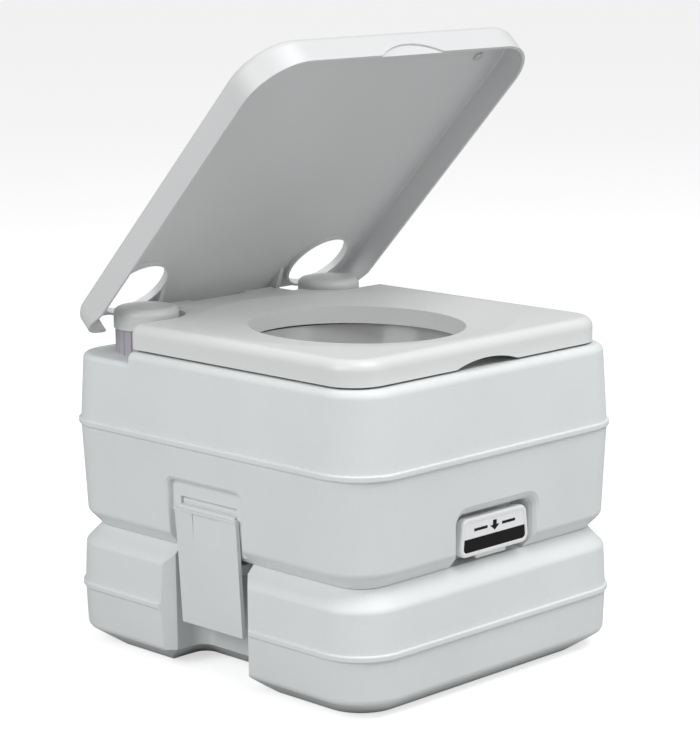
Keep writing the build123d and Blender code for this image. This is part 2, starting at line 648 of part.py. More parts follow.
with BuildPart() as flush_tank:
    add(tank_body(flush_profile))
    fillet(flush_tank.edges().group_by(Axis.Z)[-1], TOP_EDGE_R)
    shoulder = flush_tank.edges().filter_by_position(
        Axis.Z, FLUSH_SHOULDER_Z - 0.1, FLUSH_SHOULDER_Z + 0.1)
    fillet(shoulder, TANK_EDGE_R)
    add(bead(FLUSH_BEAD_Z))
    add(deck_cut(0.0), mode=Mode.SUBTRACT)
    deck = flush_tank.faces().filter_by_position(Axis.Z, DECK_Z - 0.01, DECK_Z + 0.01)[0]
    fillet([edge for edge in deck.edges() if edge.center().Y > DECK_Y + 0.1], DECK_EDGE_R)
    for about in (None, Plane.YZ):
        recess = latch_recess()
        add(mirror(recess, about=about) if about else recess, mode=Mode.SUBTRACT)
    add(pull_recess(), mode=Mode.SUBTRACT)
    add(flush_cavity.part, mode=Mode.SUBTRACT)
    # seat for the bowl's flange, and the way out under the bowl
    with Locations((0, VALVE_Y, FLUSH_TOP_Z)):
        CounterBoreHole(BOWL_R + BOWL_WALL, BOWL_FLANGE_R, BOWL_FLANGE_H, depth=2 * WALL)
    with Locations((0, VALVE_Y, TUNNEL_TOP_Z + WALL)):
        Hole(VALVE_BORE_R + BOWL_WALL, depth=WALL)
    # bosses under the deck for the hinge screws
    with BuildSketch(Plane.XY.offset(DECK_Z - WALL)):
        with Locations(*hinge_screw_points):
            Circle(3 * SCREW_R)
    extrude(amount=-12.0)
    with Locations(*[(x, y, DECK_Z) for x, y in hinge_screw_points]):
        Hole(SCREW_R, depth=10.0)
    # openings for the pump and for the fill neck
    with Locations((-CAP_X, CAP_Y, DECK_Z)):
        Hole(PUMP_BORE_R, depth=2 * WALL)
    with Locations((CAP_X, CAP_Y, DECK_Z)):
        Hole(FILL_NECK_R, depth=2 * WALL)
    # blind holes that carry the latch pins
    for side in (-1, 1):
        with BuildSketch(Plane.XZ.offset(-LATCH_Y + SLOT_HALF + WALL - 0.5)):
            with Locations((side * LATCH_PIVOT_X, LATCH_PIVOT_Z)):
                Circle(LATCH_PIN_R)
        extrude(amount=-2 * (SLOT_HALF + WALL - 0.5), mode=Mode.SUBTRACT)
write("flush_tank", flush_tank.part)

# ---------------------------------------------------------------- latches


def latch():
    """The latch on the -X side, leaning inward, with its hinge barrel and tooth."""
    lean = radians(LATCH_LEAN)
    bottom_x = -LATCH_FACE_X + (LATCH_TOP_Z - LATCH_BOTTOM_Z) * tan(lean)
    thick = LATCH_THICK / cos(lean)
    low_x, high_x = [-LATCH_FACE_X + (LATCH_TOP_Z - z) * tan(lean) for z in LATCH_PANEL_Z]
    with BuildPart() as body:
        with BuildSketch(Plane.XZ.offset(-LATCH_Y - LATCH_WIDTH / 2)):
            Polygon([(-LATCH_FACE_X, LATCH_TOP_Z), (-LATCH_FACE_X + thick, LATCH_TOP_Z),
                     (bottom_x + thick, LATCH_BOTTOM_Z), (bottom_x, LATCH_BOTTOM_Z)], align=None)
        extrude(amount=LATCH_WIDTH)
        chamfer(body.edges().filter_by(Axis.Y), 0.8)
        # a thumb panel, deepest under the rail
        with BuildSketch(Plane.XZ.offset(-LATCH_Y - LATCH_PANEL_WIDTH / 2)):
            Polygon([(low_x - 1.0, LATCH_PANEL_Z[0]), (low_x, LATCH_PANEL_Z[0]),
                     (high_x + LATCH_PANEL_DEPTH, LATCH_PANEL_Z[1]), (high_x - 1.0, LATCH_PANEL_Z[1])],
                    align=None)
        extrude(amount=LATCH_PANEL_WIDTH, mode=Mode.SUBTRACT)
        # the rail along the top edge
        with BuildSketch(Plane.XZ.offset(-LATCH_Y - LATCH_RAIL[0] / 2)):
            with Locations((-LATCH_FACE_X + (LATCH_RAIL_PROUD + 1.0) / 2 - LATCH_RAIL_PROUD,
                            LATCH_TOP_Z - LATCH_RAIL[1] / 2)):
                Rectangle(LATCH_RAIL_PROUD + 1.0, LATCH_RAIL[1])
        extrude(amount=LATCH_RAIL[0])
        # barrel round the pin, and the arm that carries it through the slot
        arm_half = SLOT_HALF - CLEAR
        with BuildSketch(Plane.XZ.offset(-LATCH_Y - arm_half)):
            with Locations((-LATCH_PIVOT_X, LATCH_PIVOT_Z)):
                Circle(LATCH_BARREL_R)
            Polygon([(-LATCH_PIVOT_X - 1.0, LATCH_PIVOT_Z - LATCH_BARREL_R + 0.2),
                     (-LATCH_PIVOT_X + 1.0, LATCH_PIVOT_Z - LATCH_BARREL_R + 3.0),
                     (-LATCH_FACE_X + 3.0, LATCH_TOP_Z + 2.5),
                     (-LATCH_FACE_X + 1.2, LATCH_TOP_Z - 0.5),
                     (-LATCH_FACE_X + thick, LATCH_TOP_Z - 1.0)], align=None)
        extrude(amount=2 * arm_half)
        with BuildSketch(Plane.XZ.offset(-LATCH_Y - arm_half)):
            with Locations((-LATCH_PIVOT_X, LATCH_PIVOT_Z)):
                Circle(LATCH_PIN_R + RUNNING)
        extrude(amount=2 * arm_half, mode=Mode.SUBTRACT)
        # the tooth that hooks under the waste tank's lug
        tooth_tip = -LATCH_LUG_X - 2 * CLEAR
        tooth_root = -LATCH_FACE_X + (LATCH_TOP_Z - LATCH_TOOTH_Z[0]) * tan(lean) + thick - 1.5
        with BuildSketch(Plane.XY.offset(LATCH_TOOTH_Z[0])):
            with Locations(((tooth_tip + tooth_root) / 2, LATCH_Y)):
                Rectangle(tooth_tip - tooth_root, LATCH_LUG_WIDTH)
        extrude(amount=LATCH_TOOTH_Z[1] - LATCH_TOOTH_Z[0])
    return body.part


def latch_pin():
    """The latch's hinge pin on the -X side, held in the slot's end walls."""
    half = SLOT_HALF + WALL - 0.5
    with BuildPart() as pin:
        with BuildSketch(Plane.XZ.offset(-LATCH_Y - half)):
            with Locations((-LATCH_PIVOT_X, LATCH_PIVOT_Z)):
                Circle(LATCH_PIN_R)
        extrude(amount=2 * half)
    return pin.part


write("latch_left", latch())
write("latch_right", mirror(latch(), about=Plane.YZ))
write("latch_pin_left", latch_pin())
write("latch_pin_right", mirror(latch_pin(), about=Plane.YZ))

# ---------------------------------------------------------------- bowl

BOWL_OUTLET_Z = TUNNEL_TOP_Z
with BuildPart() as bowl:
    with BuildSketch(Plane.XZ.offset(-VALVE_Y)):
        with BuildLine():
            rim = Line((BOWL_R, FLUSH_TOP_Z), (BOWL_FLANGE_R, FLUSH_TOP_Z))
            drop = Line(rim @ 1, (BOWL_FLANGE_R, FLUSH_TOP_Z - BOWL_FLANGE_H))
            under = Line(drop @ 1, (BOWL_R + BOWL_WALL, FLUSH_TOP_Z - BOWL_FLANGE_H))
            outside = Spline(under @ 1, (VALVE_BORE_R + BOWL_WALL, BOWL_NECK_Z),
                             tangents=[(-0.15, -1), (-0.5, -1)])
            neck_out = Line(outside @ 1, (VALVE_BORE_R + BOWL_WALL, BOWL_OUTLET_Z))
            mouth = Line(neck_out @ 1, (VALVE_BORE_R, BOWL_OUTLET_Z))
            neck_in = Line(mouth @ 1, (VALVE_BORE_R, BOWL_NECK_Z + 1.0))
            Spline(neck_in @ 1, rim @ 0, tangents=[(0.5, 1), (0.15, 1)])
        make_face()
    revolve(axis=Axis((0, VALVE_Y, 0), (0, 0, 1)))
    with BuildSketch(Plane.XZ.offset(-VALVE_Y)):
        with Locations((0, HOSE_Z)):
            Circle(HOSE_R)
    extrude(amount=-BOWL_R - BEYOND, mode=Mode.SUBTRACT)
write("bowl", bowl.part)

write("bowl_gasket", ring((0, VALVE_Y), TUNNEL_TOP_Z + WALL, TUNNEL_TOP_Z + 2 * WALL,
                          VALVE_BORE_R + BOWL_WALL + 4.0, VALVE_BORE_R + BOWL_WALL))

# ---------------------------------------------------------------- pump

PUMP_FLANGE_Z = DECK_Z + 2.0
COLLAR_TOP_Z = CAP_BOTTOM_Z + COLLAR_LAP
CAP_CEILING_Z = CAP_TOP_Z - CAP_TOP_WALL


def ribbed_collar(centre, bottom, top, bore):
    """A ring with upright grip ribs."""
    with BuildPart() as collar:
        with BuildSketch(Plane.XY.offset(bottom)):
            with Locations(centre):
                Circle(COLLAR_R)
                with PolarLocations(COLLAR_R, COLLAR_RIBS):
                    Circle(COLLAR_RIB_R)
                Circle(bore, mode=Mode.SUBTRACT)
        extrude(amount=top - bottom)
    return collar.part


write("pump_collar", ribbed_collar((-CAP_X, CAP_Y), DECK_Z, COLLAR_TOP_Z, COLLAR_R - COLLAR_WALL))

with BuildPart() as pump_cap:
    with BuildSketch(Plane.XY.offset(CAP_BOTTOM_Z)):
        with Locations((-CAP_X, CAP_Y)):
            Circle(CAP_R)
    extrude(amount=CAP_TOP_Z - CAP_BOTTOM_Z)
    fillet(pump_cap.edges().group_by(Axis.Z)[-1], CAP_ROUND)
    with BuildSketch(Plane.XY.offset(CAP_BOTTOM_Z)):
        with Locations((-CAP_X, CAP_Y)):
            Circle(CAP_R - CAP_WALL)
    extrude(amount=CAP_CEILING_Z - CAP_ROUND + CAP_WALL - CAP_BOTTOM_Z, mode=Mode.SUBTRACT)
    with BuildSketch(Plane.XY.offset(CAP_BOTTOM_Z)):
        with Locations((-CAP_X, CAP_Y)):
            Circle(CAP_R - CAP_ROUND)
    extrude(amount=CAP_CEILING_Z - CAP_BOTTOM_Z, mode=Mode.SUBTRACT)
write("pump_cap", pump_cap.part)

with BuildPart() as pump_body:
    with BuildSketch(Plane.XY.offset(DECK_Z)):
        with Locations((-CAP_X, CAP_Y)):
            Circle(COLLAR_R - COLLAR_WALL)
    extrude(amount=PUMP_FLANGE_Z - DECK_Z)
    with BuildSketch(Plane.XY.offset(PUMP_TUBE_BOTTOM_Z)):
        with Locations((-CAP_X, CAP_Y)):
            Circle(PUMP_BORE_R)
    extrude(amount=DECK_Z - PUMP_TUBE_BOTTOM_Z)
    with BuildSketch(Plane.XY.offset(PUMP_TUBE_BOTTOM_Z + PUMP_TUBE_WALL)):
        with Locations((-CAP_X, CAP_Y)):
            Circle(PUMP_BORE_R - PUMP_TUBE_WALL)
    extrude(amount=PUMP_FLANGE_Z - PUMP_TUBE_BOTTOM_Z, mode=Mode.SUBTRACT)
    with Locations((-CAP_X, CAP_Y, PUMP_TUBE_BOTTOM_Z + PUMP_TUBE_WALL)):
        Hole(DIP_R, depth=PUMP_TUBE_WALL)
    # the side outlet that the flush hose pushes onto
    with BuildSketch(Plane.YZ.offset(-CAP_X)):
        with Locations((CAP_Y, HOSE_Z)):
            Circle(HOSE_R - HOSE_WALL)
    extrude(amount=PUMP_BORE_R + 1.0, mode=Mode.SUBTRACT)
write("pump_body", pump_body.part)

with BuildPart() as pump_bellows:
    with BuildSketch(Plane.XZ.offset(-CAP_Y)):
        with BuildLine():
            fold = (CAP_CEILING_Z - PUMP_FLANGE_Z) / (2 * BELLOWS_FOLDS)
            wide = [BELLOWS_R[step % 2] for step in range(2 * BELLOWS_FOLDS + 1)]
            outer = [(-CAP_X + radius, PUMP_FLANGE_Z + step * fold) for step, radius in enumerate(wide)]
            inner = [(x - BELLOWS_WALL, z) for x, z in reversed(outer)]
            Polyline(*outer, *inner, close=True)
        make_face()
    revolve(axis=Axis((-CAP_X, CAP_Y, 0), (0, 0, 1)))
write("pump_bellows", pump_bellows.part)

write("dip_tube", ring((-CAP_X, CAP_Y), DIP_BOTTOM_Z, PUMP_TUBE_BOTTOM_Z + PUMP_TUBE_WALL,
                       DIP_R, DIP_R - DIP_WALL))

with BuildPart() as pump_check_ball:
    with Locations((-CAP_X, CAP_Y, PUMP_TUBE_BOTTOM_Z + PUMP_TUBE_WALL + BALL_R)):
        Sphere(BALL_R)
write("pump_check_ball", pump_check_ball.part)

HOSE_START = (-CAP_X + PUMP_BORE_R, CAP_Y, HOSE_Z)
NOZZLE_Y = CAP_Y - 34.0


def hose(radius):
    """A tube along the hose's route from the pump to the rear of the bowl."""
    with BuildPart() as tube:
        with BuildLine() as route:
            FilletPolyline(HOSE_START, (0, CAP_Y, HOSE_Z), (0, NOZZLE_Y, HOSE_Z), radius=HOSE_BEND_R)
        with BuildSketch(Plane(origin=HOSE_START, x_dir=(0, 1, 0), z_dir=(1, 0, 0))):
            Circle(radius)
        sweep(path=route.line)
    return tube.part


with BuildPart() as flush_hose:
    add(hose(HOSE_R))
    add(hose(HOSE_R - HOSE_WALL), mode=Mode.SUBTRACT)
write("flush_hose", flush_hose.part)

with BuildPart() as flush_nozzle:
    with BuildSketch(Plane.XZ.offset(-NOZZLE_Y)):
        with Locations((0, HOSE_Z)):
            Circle(HOSE_R)
            Circle(HOSE_R - HOSE_WALL, mode=Mode.SUBTRACT)
    extrude(amount=NOZZLE_Y - VALVE_Y - BOWL_R + 16.0)
write("flush_nozzle", flush_nozzle.part)

# ---------------------------------------------------------------- fill cap

FILL_NECK_TOP_Z = CAP_CEILING_Z - 3.0
with BuildPart() as fill_neck:
    add(ring((CAP_X, CAP_Y), DECK_Z - WALL, FILL_NECK_TOP_Z, FILL_NECK_R, FILL_NECK_R - FILL_NECK_WALL))
    add(ring((CAP_X, CAP_Y), DECK_Z, DECK_Z + 1.5, COLLAR_R, FILL_NECK_R - FILL_NECK_WALL))
write("fill_neck", fill_neck.part)

FILL_SKIRT_Z = DECK_Z + 1.5 + CLEAR
with BuildPart() as fill_cap:
    with BuildSketch(Plane.XY.offset(CAP_BOTTOM_Z)):
        with Locations((CAP_X, CAP_Y)):
            Circle(CAP_R)
    extrude(amount=CAP_TOP_Z - CAP_BOTTOM_Z)
    fillet(fill_cap.edges().group_by(Axis.Z)[-1], CAP_ROUND)
    add(ribbed_collar((CAP_X, CAP_Y), FILL_SKIRT_Z, CAP_BOTTOM_Z, FILL_NECK_R + RUNNING))
    with BuildSketch(Plane.XY.offset(CAP_BOTTOM_Z)):
        with Locations((CAP_X, CAP_Y)):
            Circle(FILL_NECK_R + RUNNING)
    extrude(amount=CAP_CEILING_Z - CAP_BOTTOM_Z, mode=Mode.SUBTRACT)
write("fill_cap", fill_cap.part)

write("fill_gasket", ring((CAP_X, CAP_Y), FILL_NECK_TOP_Z + CLEAR, CAP_CEILING_Z,
                          FILL_NECK_R - 0.2, FILL_NECK_R - 2 * FILL_NECK_WALL))

# ---------------------------------------------------------------- hinge

BRACKET_TOP_Z = DECK_Z + BRACKET_PLATE_H


def hinge_bracket(side):
    """Base plate with two ears that hold a hinge pin."""
    length = OUTER_EAR_X - INNER_EAR_X + EAR_THICK + BRACKET_MARGIN
    with BuildPart() as bracket:
        with BuildSketch(Plane.XY.offset(DECK_Z)):
            with Locations((side * bracket_x, bracket_y)):
                RectangleRounded(length, BRACKET_DEPTH, 4.0)
        extrude(amount=BRACKET_PLATE_H)
        for ear_x in (INNER_EAR_X, OUTER_EAR_X):
            with BuildSketch(Plane.YZ.offset(side * ear_x - EAR_THICK / 2)):
                with Locations((HINGE_Y, HINGE_Z)):
                    Circle(EAR_R)
                Polygon([(HINGE_Y - EAR_R, HINGE_Z), (HINGE_Y - EAR_R - 3.0, DECK_Z + 1.0),
                         (HINGE_Y + EAR_R + 3.0, DECK_Z + 1.0), (HINGE_Y + EAR_R, HINGE_Z)], align=None)
                with Locations((HINGE_Y, HINGE_Z)):
                    Circle(HINGE_PIN_R, mode=Mode.SUBTRACT)
            extrude(amount=EAR_THICK)
        with Locations(*[(x, y, BRACKET_TOP_Z) for x, y in hinge_screw_points if x * side > 0]):
            Hole(SCREW_R, depth=BRACKET_PLATE_H)
    return bracket.part


PIN_INNER_X = INNER_EAR_X - EAR_THICK / 2
PIN_OUTER_X = LID_EAR_X + LID_EAR_THICK / 2 + CLEAR


def hinge_pin(side):
    """Pin with a head outside the lid's ear."""
    with BuildPart() as pin:
        with BuildSketch(Plane.YZ.offset(side * PIN_INNER_X)):
            with Locations((HINGE_Y, HINGE_Z)):
                Circle(HINGE_PIN_R)
        extrude(amount=side * (PIN_OUTER_X - PIN_INNER_X))
        with BuildSketch(Plane.YZ.offset(side * PIN_OUTER_X)):
            with Locations((HINGE_Y, HINGE_Z)):
                Circle(HINGE_PIN_R + 1.5)
        extrude(amount=side * 1.5)
    return pin.part


for side, hand in ((-1, "left"), (1, "right")):
    write(f"hinge_bracket_{hand}", hinge_bracket(side))
    write(f"hinge_pin_{hand}", hinge_pin(side))

with BuildPart() as hinge_screws:
    with BuildSketch(Plane.XY.offset(BRACKET_TOP_Z - 12.0)):
        with Locations(*hinge_screw_points):
            Circle(SCREW_R)
    extrude(amount=12.0)
    with BuildSketch(Plane.XY.offset(BRACKET_TOP_Z)):
        with Locations(*hinge_screw_points):
            Circle(SCREW_HEAD_R)
    extrude(amount=SCREW_HEAD_H)
write("hinge_screws", hinge_screws.part)

# ---------------------------------------------------------------- seat


def seat_outline(z, inset):
    """Plan of the seat: rounded front, notches round both caps, a tongue to the hinge."""
    with BuildSketch(Plane.XY.offset(z)) as plan:
        with Locations((0, (SEAT_FRONT_Y + SEAT_REAR_Y) / 2)):
            Rectangle(2 * SEAT_HALF, SEAT_REAR_Y - SEAT_FRONT_Y)
        fillet(plan.vertices().group_by(Axis.Y)[0], SEAT_CORNER_R)
        with Locations((-CAP_X, CAP_Y), (CAP_X, CAP_Y)):
            Circle(CAP_NOTCH_R, mode=Mode.SUBTRACT)
        for side in (-1, 1):
            with Locations((side * (SEAT_TONGUE_HALF + SEAT_HALF), CAP_Y + CAP_NOTCH_R)):
                Rectangle(2 * SEAT_HALF, 2 * CAP_NOTCH_R, mode=Mode.SUBTRACT)
            with Locations((side * (CAP_X + SEAT_HALF), SEAT_SHOULDER_Y + CAP_NOTCH_R)):
                Rectangle(2 * SEAT_HALF, 2 * CAP_NOTCH_R, mode=Mode.SUBTRACT)
        if inset:
            offset(amount=-inset, kind=Kind.INTERSECTION)
    return plan.sketch


def seat_oval(z, half_axes):
    """An oval round the bowl's centre at height z."""
    with BuildSketch(Plane.XY.offset(z)) as plan:
        with Locations((0, VALVE_Y)):
            Ellipse(*half_axes)
    return plan.sketch


bumper_points = [(side * (SEAT_HALF - 14.0), y) for side in (-1, 1) for y in (SEAT_FRONT_Y + 50.0, 60.0)]
knuckle_ends = (INNER_EAR_X + EAR_THICK / 2 + CLEAR, OUTER_EAR_X - EAR_THICK / 2 - CLEAR)
notch_r = (SEAT_NOTCH_HALF**2 + SEAT_NOTCH_H**2) / (2 * SEAT_NOTCH_H)

with BuildPart() as seat_hollow:
    add(seat_outline(SEAT_BOTTOM_Z, SEAT_WALL))
    extrude(amount=SEAT_TOP_Z - DISH_DEPTH - SEAT_SKIN - SEAT_BOTTOM_Z)
    add(seat_oval(SEAT_BOTTOM_Z, [axis + SEAT_WALL for axis in THROAT]))
    extrude(amount=SEAT_TOP_Z - SEAT_BOTTOM_Z, mode=Mode.SUBTRACT)

with BuildPart() as seat:
    add(seat_outline(SEAT_BOTTOM_Z, 0.0))
    extrude(amount=SEAT_TOP_Z - SEAT_BOTTOM_Z)
    rim = seat.edges().group_by(Axis.Z)[-1]
    fillet([edge for edge in rim if edge.center().Y < CAP_Y - CAP_NOTCH_R], SEAT_EDGE_R)
    shoulders = [edge for edge in seat.edges().filter_by(Axis.Z) if abs(edge.center().X) > SEAT_HALF - 0.1]
    fillet(shoulders, SEAT_SHOULDER_R)
    # dished rim, then the throat with its rounded lip
    loft([seat_oval(SEAT_TOP_Z, DISH), seat_oval(SEAT_TOP_Z - DISH_DEPTH, THROAT)], mode=Mode.SUBTRACT)
    add(seat_oval(SEAT_BOTTOM_Z, THROAT))
    extrude(amount=SEAT_TOP_Z - SEAT_BOTTOM_Z, mode=Mode.SUBTRACT)
    add(seat_hollow.part, mode=Mode.SUBTRACT)
    # finger notch in the front edge
    with BuildSketch(Plane.XZ.offset(-SEAT_FRONT_Y + BEYOND)):
        with Locations((0, SEAT_BOTTOM_Z + SEAT_NOTCH_H - notch_r)):
            Circle(notch_r)
    extrude(amount=-BEYOND - 2 * SEAT_WALL, mode=Mode.SUBTRACT)
    # bosses for the bumpers
    with BuildSketch(Plane.XY.offset(SEAT_BOTTOM_Z)):
        with Locations(*bumper_points):
            Circle(BUMPER_R + 1.0)
    extrude(amount=SEAT_TOP_Z - DISH_DEPTH - SEAT_SKIN - SEAT_BOTTOM_Z)
    # hinge knuckles behind the tongue
    for side in (-1, 1):
        start = min(side * knuckle_ends[0], side * knuckle_ends[1])
        with BuildSketch(Plane.YZ.offset(start)):
            with Locations((HINGE_Y, HINGE_Z)):
                Circle(EAR_R)
            Polygon([(HINGE_Y, HINGE_Z + EAR_R), (SEAT_REAR_Y - SEAT_WALL, HINGE_Z + EAR_R - 6.0),
                     (SEAT_REAR_Y - SEAT_WALL, HINGE_Z - EAR_R), (HINGE_Y, HINGE_Z - EAR_R)], align=None)
        extrude(amount=knuckle_ends[1] - knuckle_ends[0])
        with BuildSketch(Plane.YZ.offset(start - 1.0)):
            with Locations((HINGE_Y, HINGE_Z)):
                Circle(HINGE_PIN_R + RUNNING)
        extrude(amount=knuckle_ends[1] - knuckle_ends[0] + 2.0, mode=Mode.SUBTRACT)
write("seat", seat.part)

with BuildPart() as seat_bumpers:
    with BuildSketch(Plane.XY.offset(SEAT_BOTTOM_Z - BUMPER_H)):
        with Locations(*bumper_points):
            Circle(BUMPER_R)
    extrude(amount=BUMPER_H)
write("seat_bumpers", seat_bumpers.part)

# ---------------------------------------------------------------- lid


def opened(y, z):
    """Where a point of the closed lid stands when the lid is open."""
    angle = radians(LID_OPEN)
    dy, dz = y - HINGE_Y, z - HINGE_Z
    return HINGE_Y + dy * cos(angle) + dz * sin(angle), HINGE_Z - dy * sin(angle) + dz * cos(angle)


# the lid's own frame: closed-lid coordinates, turned up about the hinge
lid_frame = Plane(origin=(0, *opened(0, 0)), x_dir=(1, 0, 0),
                  z_dir=(0, sin(radians(LID_OPEN)), cos(radians(LID_OPEN))))


def lid_side(x):
    """An upright plane across the lid at x, in closed-lid coordinates (y, z)."""
    return Plane(origin=lid_frame.from_local_coords((x, 0, 0)), x_dir=lid_frame.y_dir,
                 z_dir=lid_frame.x_dir)


def lid_front(y):
    """A plane across the lid at y, facing its front, in closed-lid coordinates (x, z)."""
    return Plane(origin=lid_frame.from_local_coords((0, y, 0)), x_dir=lid_frame.x_dir,
                 z_dir=-lid_frame.y_dir)


LID_TOP_Z = LID_RIM_Z + LID_DEPTH
LID_CEILING_Z = LID_TOP_Z - LID_WALL
lid_notch_r = (LID_NOTCH_HALF**2 + LID_NOTCH_H**2) / (2 * LID_NOTCH_H)


def lid_tray(inset, top, edge_r):
    """A block with the lid's plan, inset all round, rounded along its top edge."""
    with BuildPart() as tray:
        with BuildSketch(lid_frame.offset(LID_RIM_Z)) as plan:
            with Locations((0, (LID_FRONT_Y + LID_REAR_Y) / 2)):
                Rectangle(2 * (LID_HALF - inset), LID_REAR_Y - LID_FRONT_Y - 2 * inset)
            fillet(plan.vertices().group_by(Axis.Y)[0], LID_FRONT_R - inset)
            fillet(plan.vertices().group_by(Axis.Y)[-1], LID_REAR_R - inset)
        extrude(amount=top - LID_RIM_Z)
        lid_up = Axis((0, 0, 0), lid_frame.z_dir)
        fillet(tray.edges().group_by(lid_up)[-1], edge_r)
    return tray.part


with BuildPart() as lid:
    add(lid_tray(0.0, LID_TOP_Z, LID_EDGE_R))
    add(lid_tray(LID_WALL, LID_CEILING_Z, LID_INNER_R), mode=Mode.SUBTRACT)
    # open rear between the corners
    with BuildSketch(lid_frame.offset(LID_RIM_Z)):
        with Locations((0, LID_REAR_Y)):
            Rectangle(2 * LID_REAR_WALL_X, 2 * (LID_WALL + LID_INNER_R))
    extrude(amount=LID_CEILING_Z - LID_RIM_Z, mode=Mode.SUBTRACT)
    # the rim rises towards the rear corners
    trim_rise = (LID_REAR_Y + BEYOND - LID_TRIM_Y) * tan(radians(LID_TRIM_ANGLE))
    with BuildSketch(lid_side(-LID_HALF - 1.0)):
        Polygon([(LID_TRIM_Y, LID_RIM_Z), (LID_REAR_Y + BEYOND, LID_RIM_Z + trim_rise),
                 (LID_REAR_Y + BEYOND, LID_RIM_Z - 1.0), (LID_TRIM_Y, LID_RIM_Z - 1.0)], align=None)
    extrude(amount=2 * LID_HALF + 2.0, mode=Mode.SUBTRACT)
    # collars and holes over the two caps
    with BuildSketch(lid_frame.offset(LID_CEILING_Z - LID_COLLAR_H)):
        with Locations((-CAP_X, CAP_Y), (CAP_X, CAP_Y)):
            Circle(LID_HOLE_R + LID_WALL)
    extrude(amount=LID_COLLAR_H + 1.0)
    with BuildSketch(lid_frame.offset(LID_RIM_Z)):
        with Locations((-CAP_X, CAP_Y), (CAP_X, CAP_Y)):
            Circle(LID_HOLE_R)
    extrude(amount=LID_DEPTH + 1.0, mode=Mode.SUBTRACT)
    # finger scoop in the front wall
    with BuildSketch(lid_front(LID_FRONT_Y - 1.0)):
        with Locations((0, LID_RIM_Z + LID_NOTCH_H - lid_notch_r)):
            Circle(lid_notch_r)
    extrude(amount=-LID_NOTCH_DEPTH - 1.0, mode=Mode.SUBTRACT)
    # ears down to the hinge pins
    for side in (-1, 1):
        ear_start = side * LID_EAR_X - LID_EAR_THICK / 2
        with BuildSketch(lid_side(ear_start)):
            with Locations((HINGE_Y, HINGE_Z)):
                Circle(EAR_R)
            Polygon([(HINGE_Y - EAR_R, HINGE_Z), (HINGE_Y - 30.0, LID_CEILING_Z + 1.0),
                     (HINGE_Y + EAR_R, LID_CEILING_Z + 1.0), (HINGE_Y + EAR_R, HINGE_Z)], align=None)
            with Locations((HINGE_Y, HINGE_Z)):
                Circle(HINGE_PIN_R + RUNNING, mode=Mode.SUBTRACT)
        extrude(amount=LID_EAR_THICK)
write("lid", lid.part)

with BuildPart() as lid_bumpers:
    with BuildSketch(lid_frame.offset(SEAT_TOP_Z + CLEAR / 2)):
        with Locations((-SEAT_HALF + 30.0, SEAT_FRONT_Y + 30.0), (SEAT_HALF - 30.0, SEAT_FRONT_Y + 30.0)):
            Circle(BUMPER_R)
    extrude(amount=LID_CEILING_Z - SEAT_TOP_Z - CLEAR / 2)
write("lid_bumpers", lid_bumpers.part)
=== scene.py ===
"""Looks of a portable camp toilet: finishes, moulded details, studio and camera.

The CAD model comes in as a fixed frame. Each sub-assembly below dresses its own CAD pieces and
adds the pieces that only the visual model has. Everything is in metres.
"""

from __future__ import annotations

import json
import logging
import math
from dataclasses import dataclass
from enum import Enum
from typing import Any, Iterable, Union

import bmesh
import bpy
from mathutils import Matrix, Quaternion, Vector

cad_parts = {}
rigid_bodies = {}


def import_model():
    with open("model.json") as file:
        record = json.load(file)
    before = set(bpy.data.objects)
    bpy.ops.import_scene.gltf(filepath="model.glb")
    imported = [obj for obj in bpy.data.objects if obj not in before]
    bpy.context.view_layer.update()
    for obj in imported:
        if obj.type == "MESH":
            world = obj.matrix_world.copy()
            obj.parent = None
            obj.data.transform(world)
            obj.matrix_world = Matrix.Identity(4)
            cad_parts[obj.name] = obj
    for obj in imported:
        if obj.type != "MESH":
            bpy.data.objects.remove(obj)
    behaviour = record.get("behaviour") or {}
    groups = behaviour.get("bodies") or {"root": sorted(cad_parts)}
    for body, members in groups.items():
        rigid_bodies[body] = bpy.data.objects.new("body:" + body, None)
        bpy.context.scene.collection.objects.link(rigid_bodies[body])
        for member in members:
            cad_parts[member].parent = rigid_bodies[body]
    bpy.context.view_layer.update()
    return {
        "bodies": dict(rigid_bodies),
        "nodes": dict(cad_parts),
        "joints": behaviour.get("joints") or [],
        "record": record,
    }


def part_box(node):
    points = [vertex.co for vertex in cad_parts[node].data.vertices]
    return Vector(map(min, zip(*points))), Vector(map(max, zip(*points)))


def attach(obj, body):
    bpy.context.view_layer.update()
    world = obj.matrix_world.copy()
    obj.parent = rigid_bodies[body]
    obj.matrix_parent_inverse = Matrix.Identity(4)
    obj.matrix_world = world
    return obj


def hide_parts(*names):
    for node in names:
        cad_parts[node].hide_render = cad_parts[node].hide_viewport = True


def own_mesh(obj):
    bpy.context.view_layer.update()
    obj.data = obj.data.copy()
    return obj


log = logging.getLogger("camp_toilet")

Number = Union[float, "Signal"]
Colour = tuple[float, float, float]
WHITE = (1.0, 1.0, 1.0, 1.0)
SHARP_ANGLE = math.radians(35.0)
CORNER_SEGMENTS = 8


class Slot(Enum):
    """The record's material slots."""

    TANK = "tank_plastic"
    SEAT = "seat_plastic"
    CAP = "cap_plastic"
    COLLAR = "collar_plastic"
    BOWL = "bowl_plastic"
    INNER = "inner_plastic"
    SPOUT = "spout_plastic"
    HANDLE = "handle_plastic"
    LABEL = "label"
    RUBBER = "rubber"
    HOSE = "hose"
    STEEL = "steel"


class Side(Enum):
    """Left or right of the toilet, as the sign of X."""

    LEFT = -1
    RIGHT = 1

    @property
    def word(self) -> str:
        """The side's name as it ends a node's name."""
        return self.name.lower()


# ---------------------------------------------------------------- shader maths


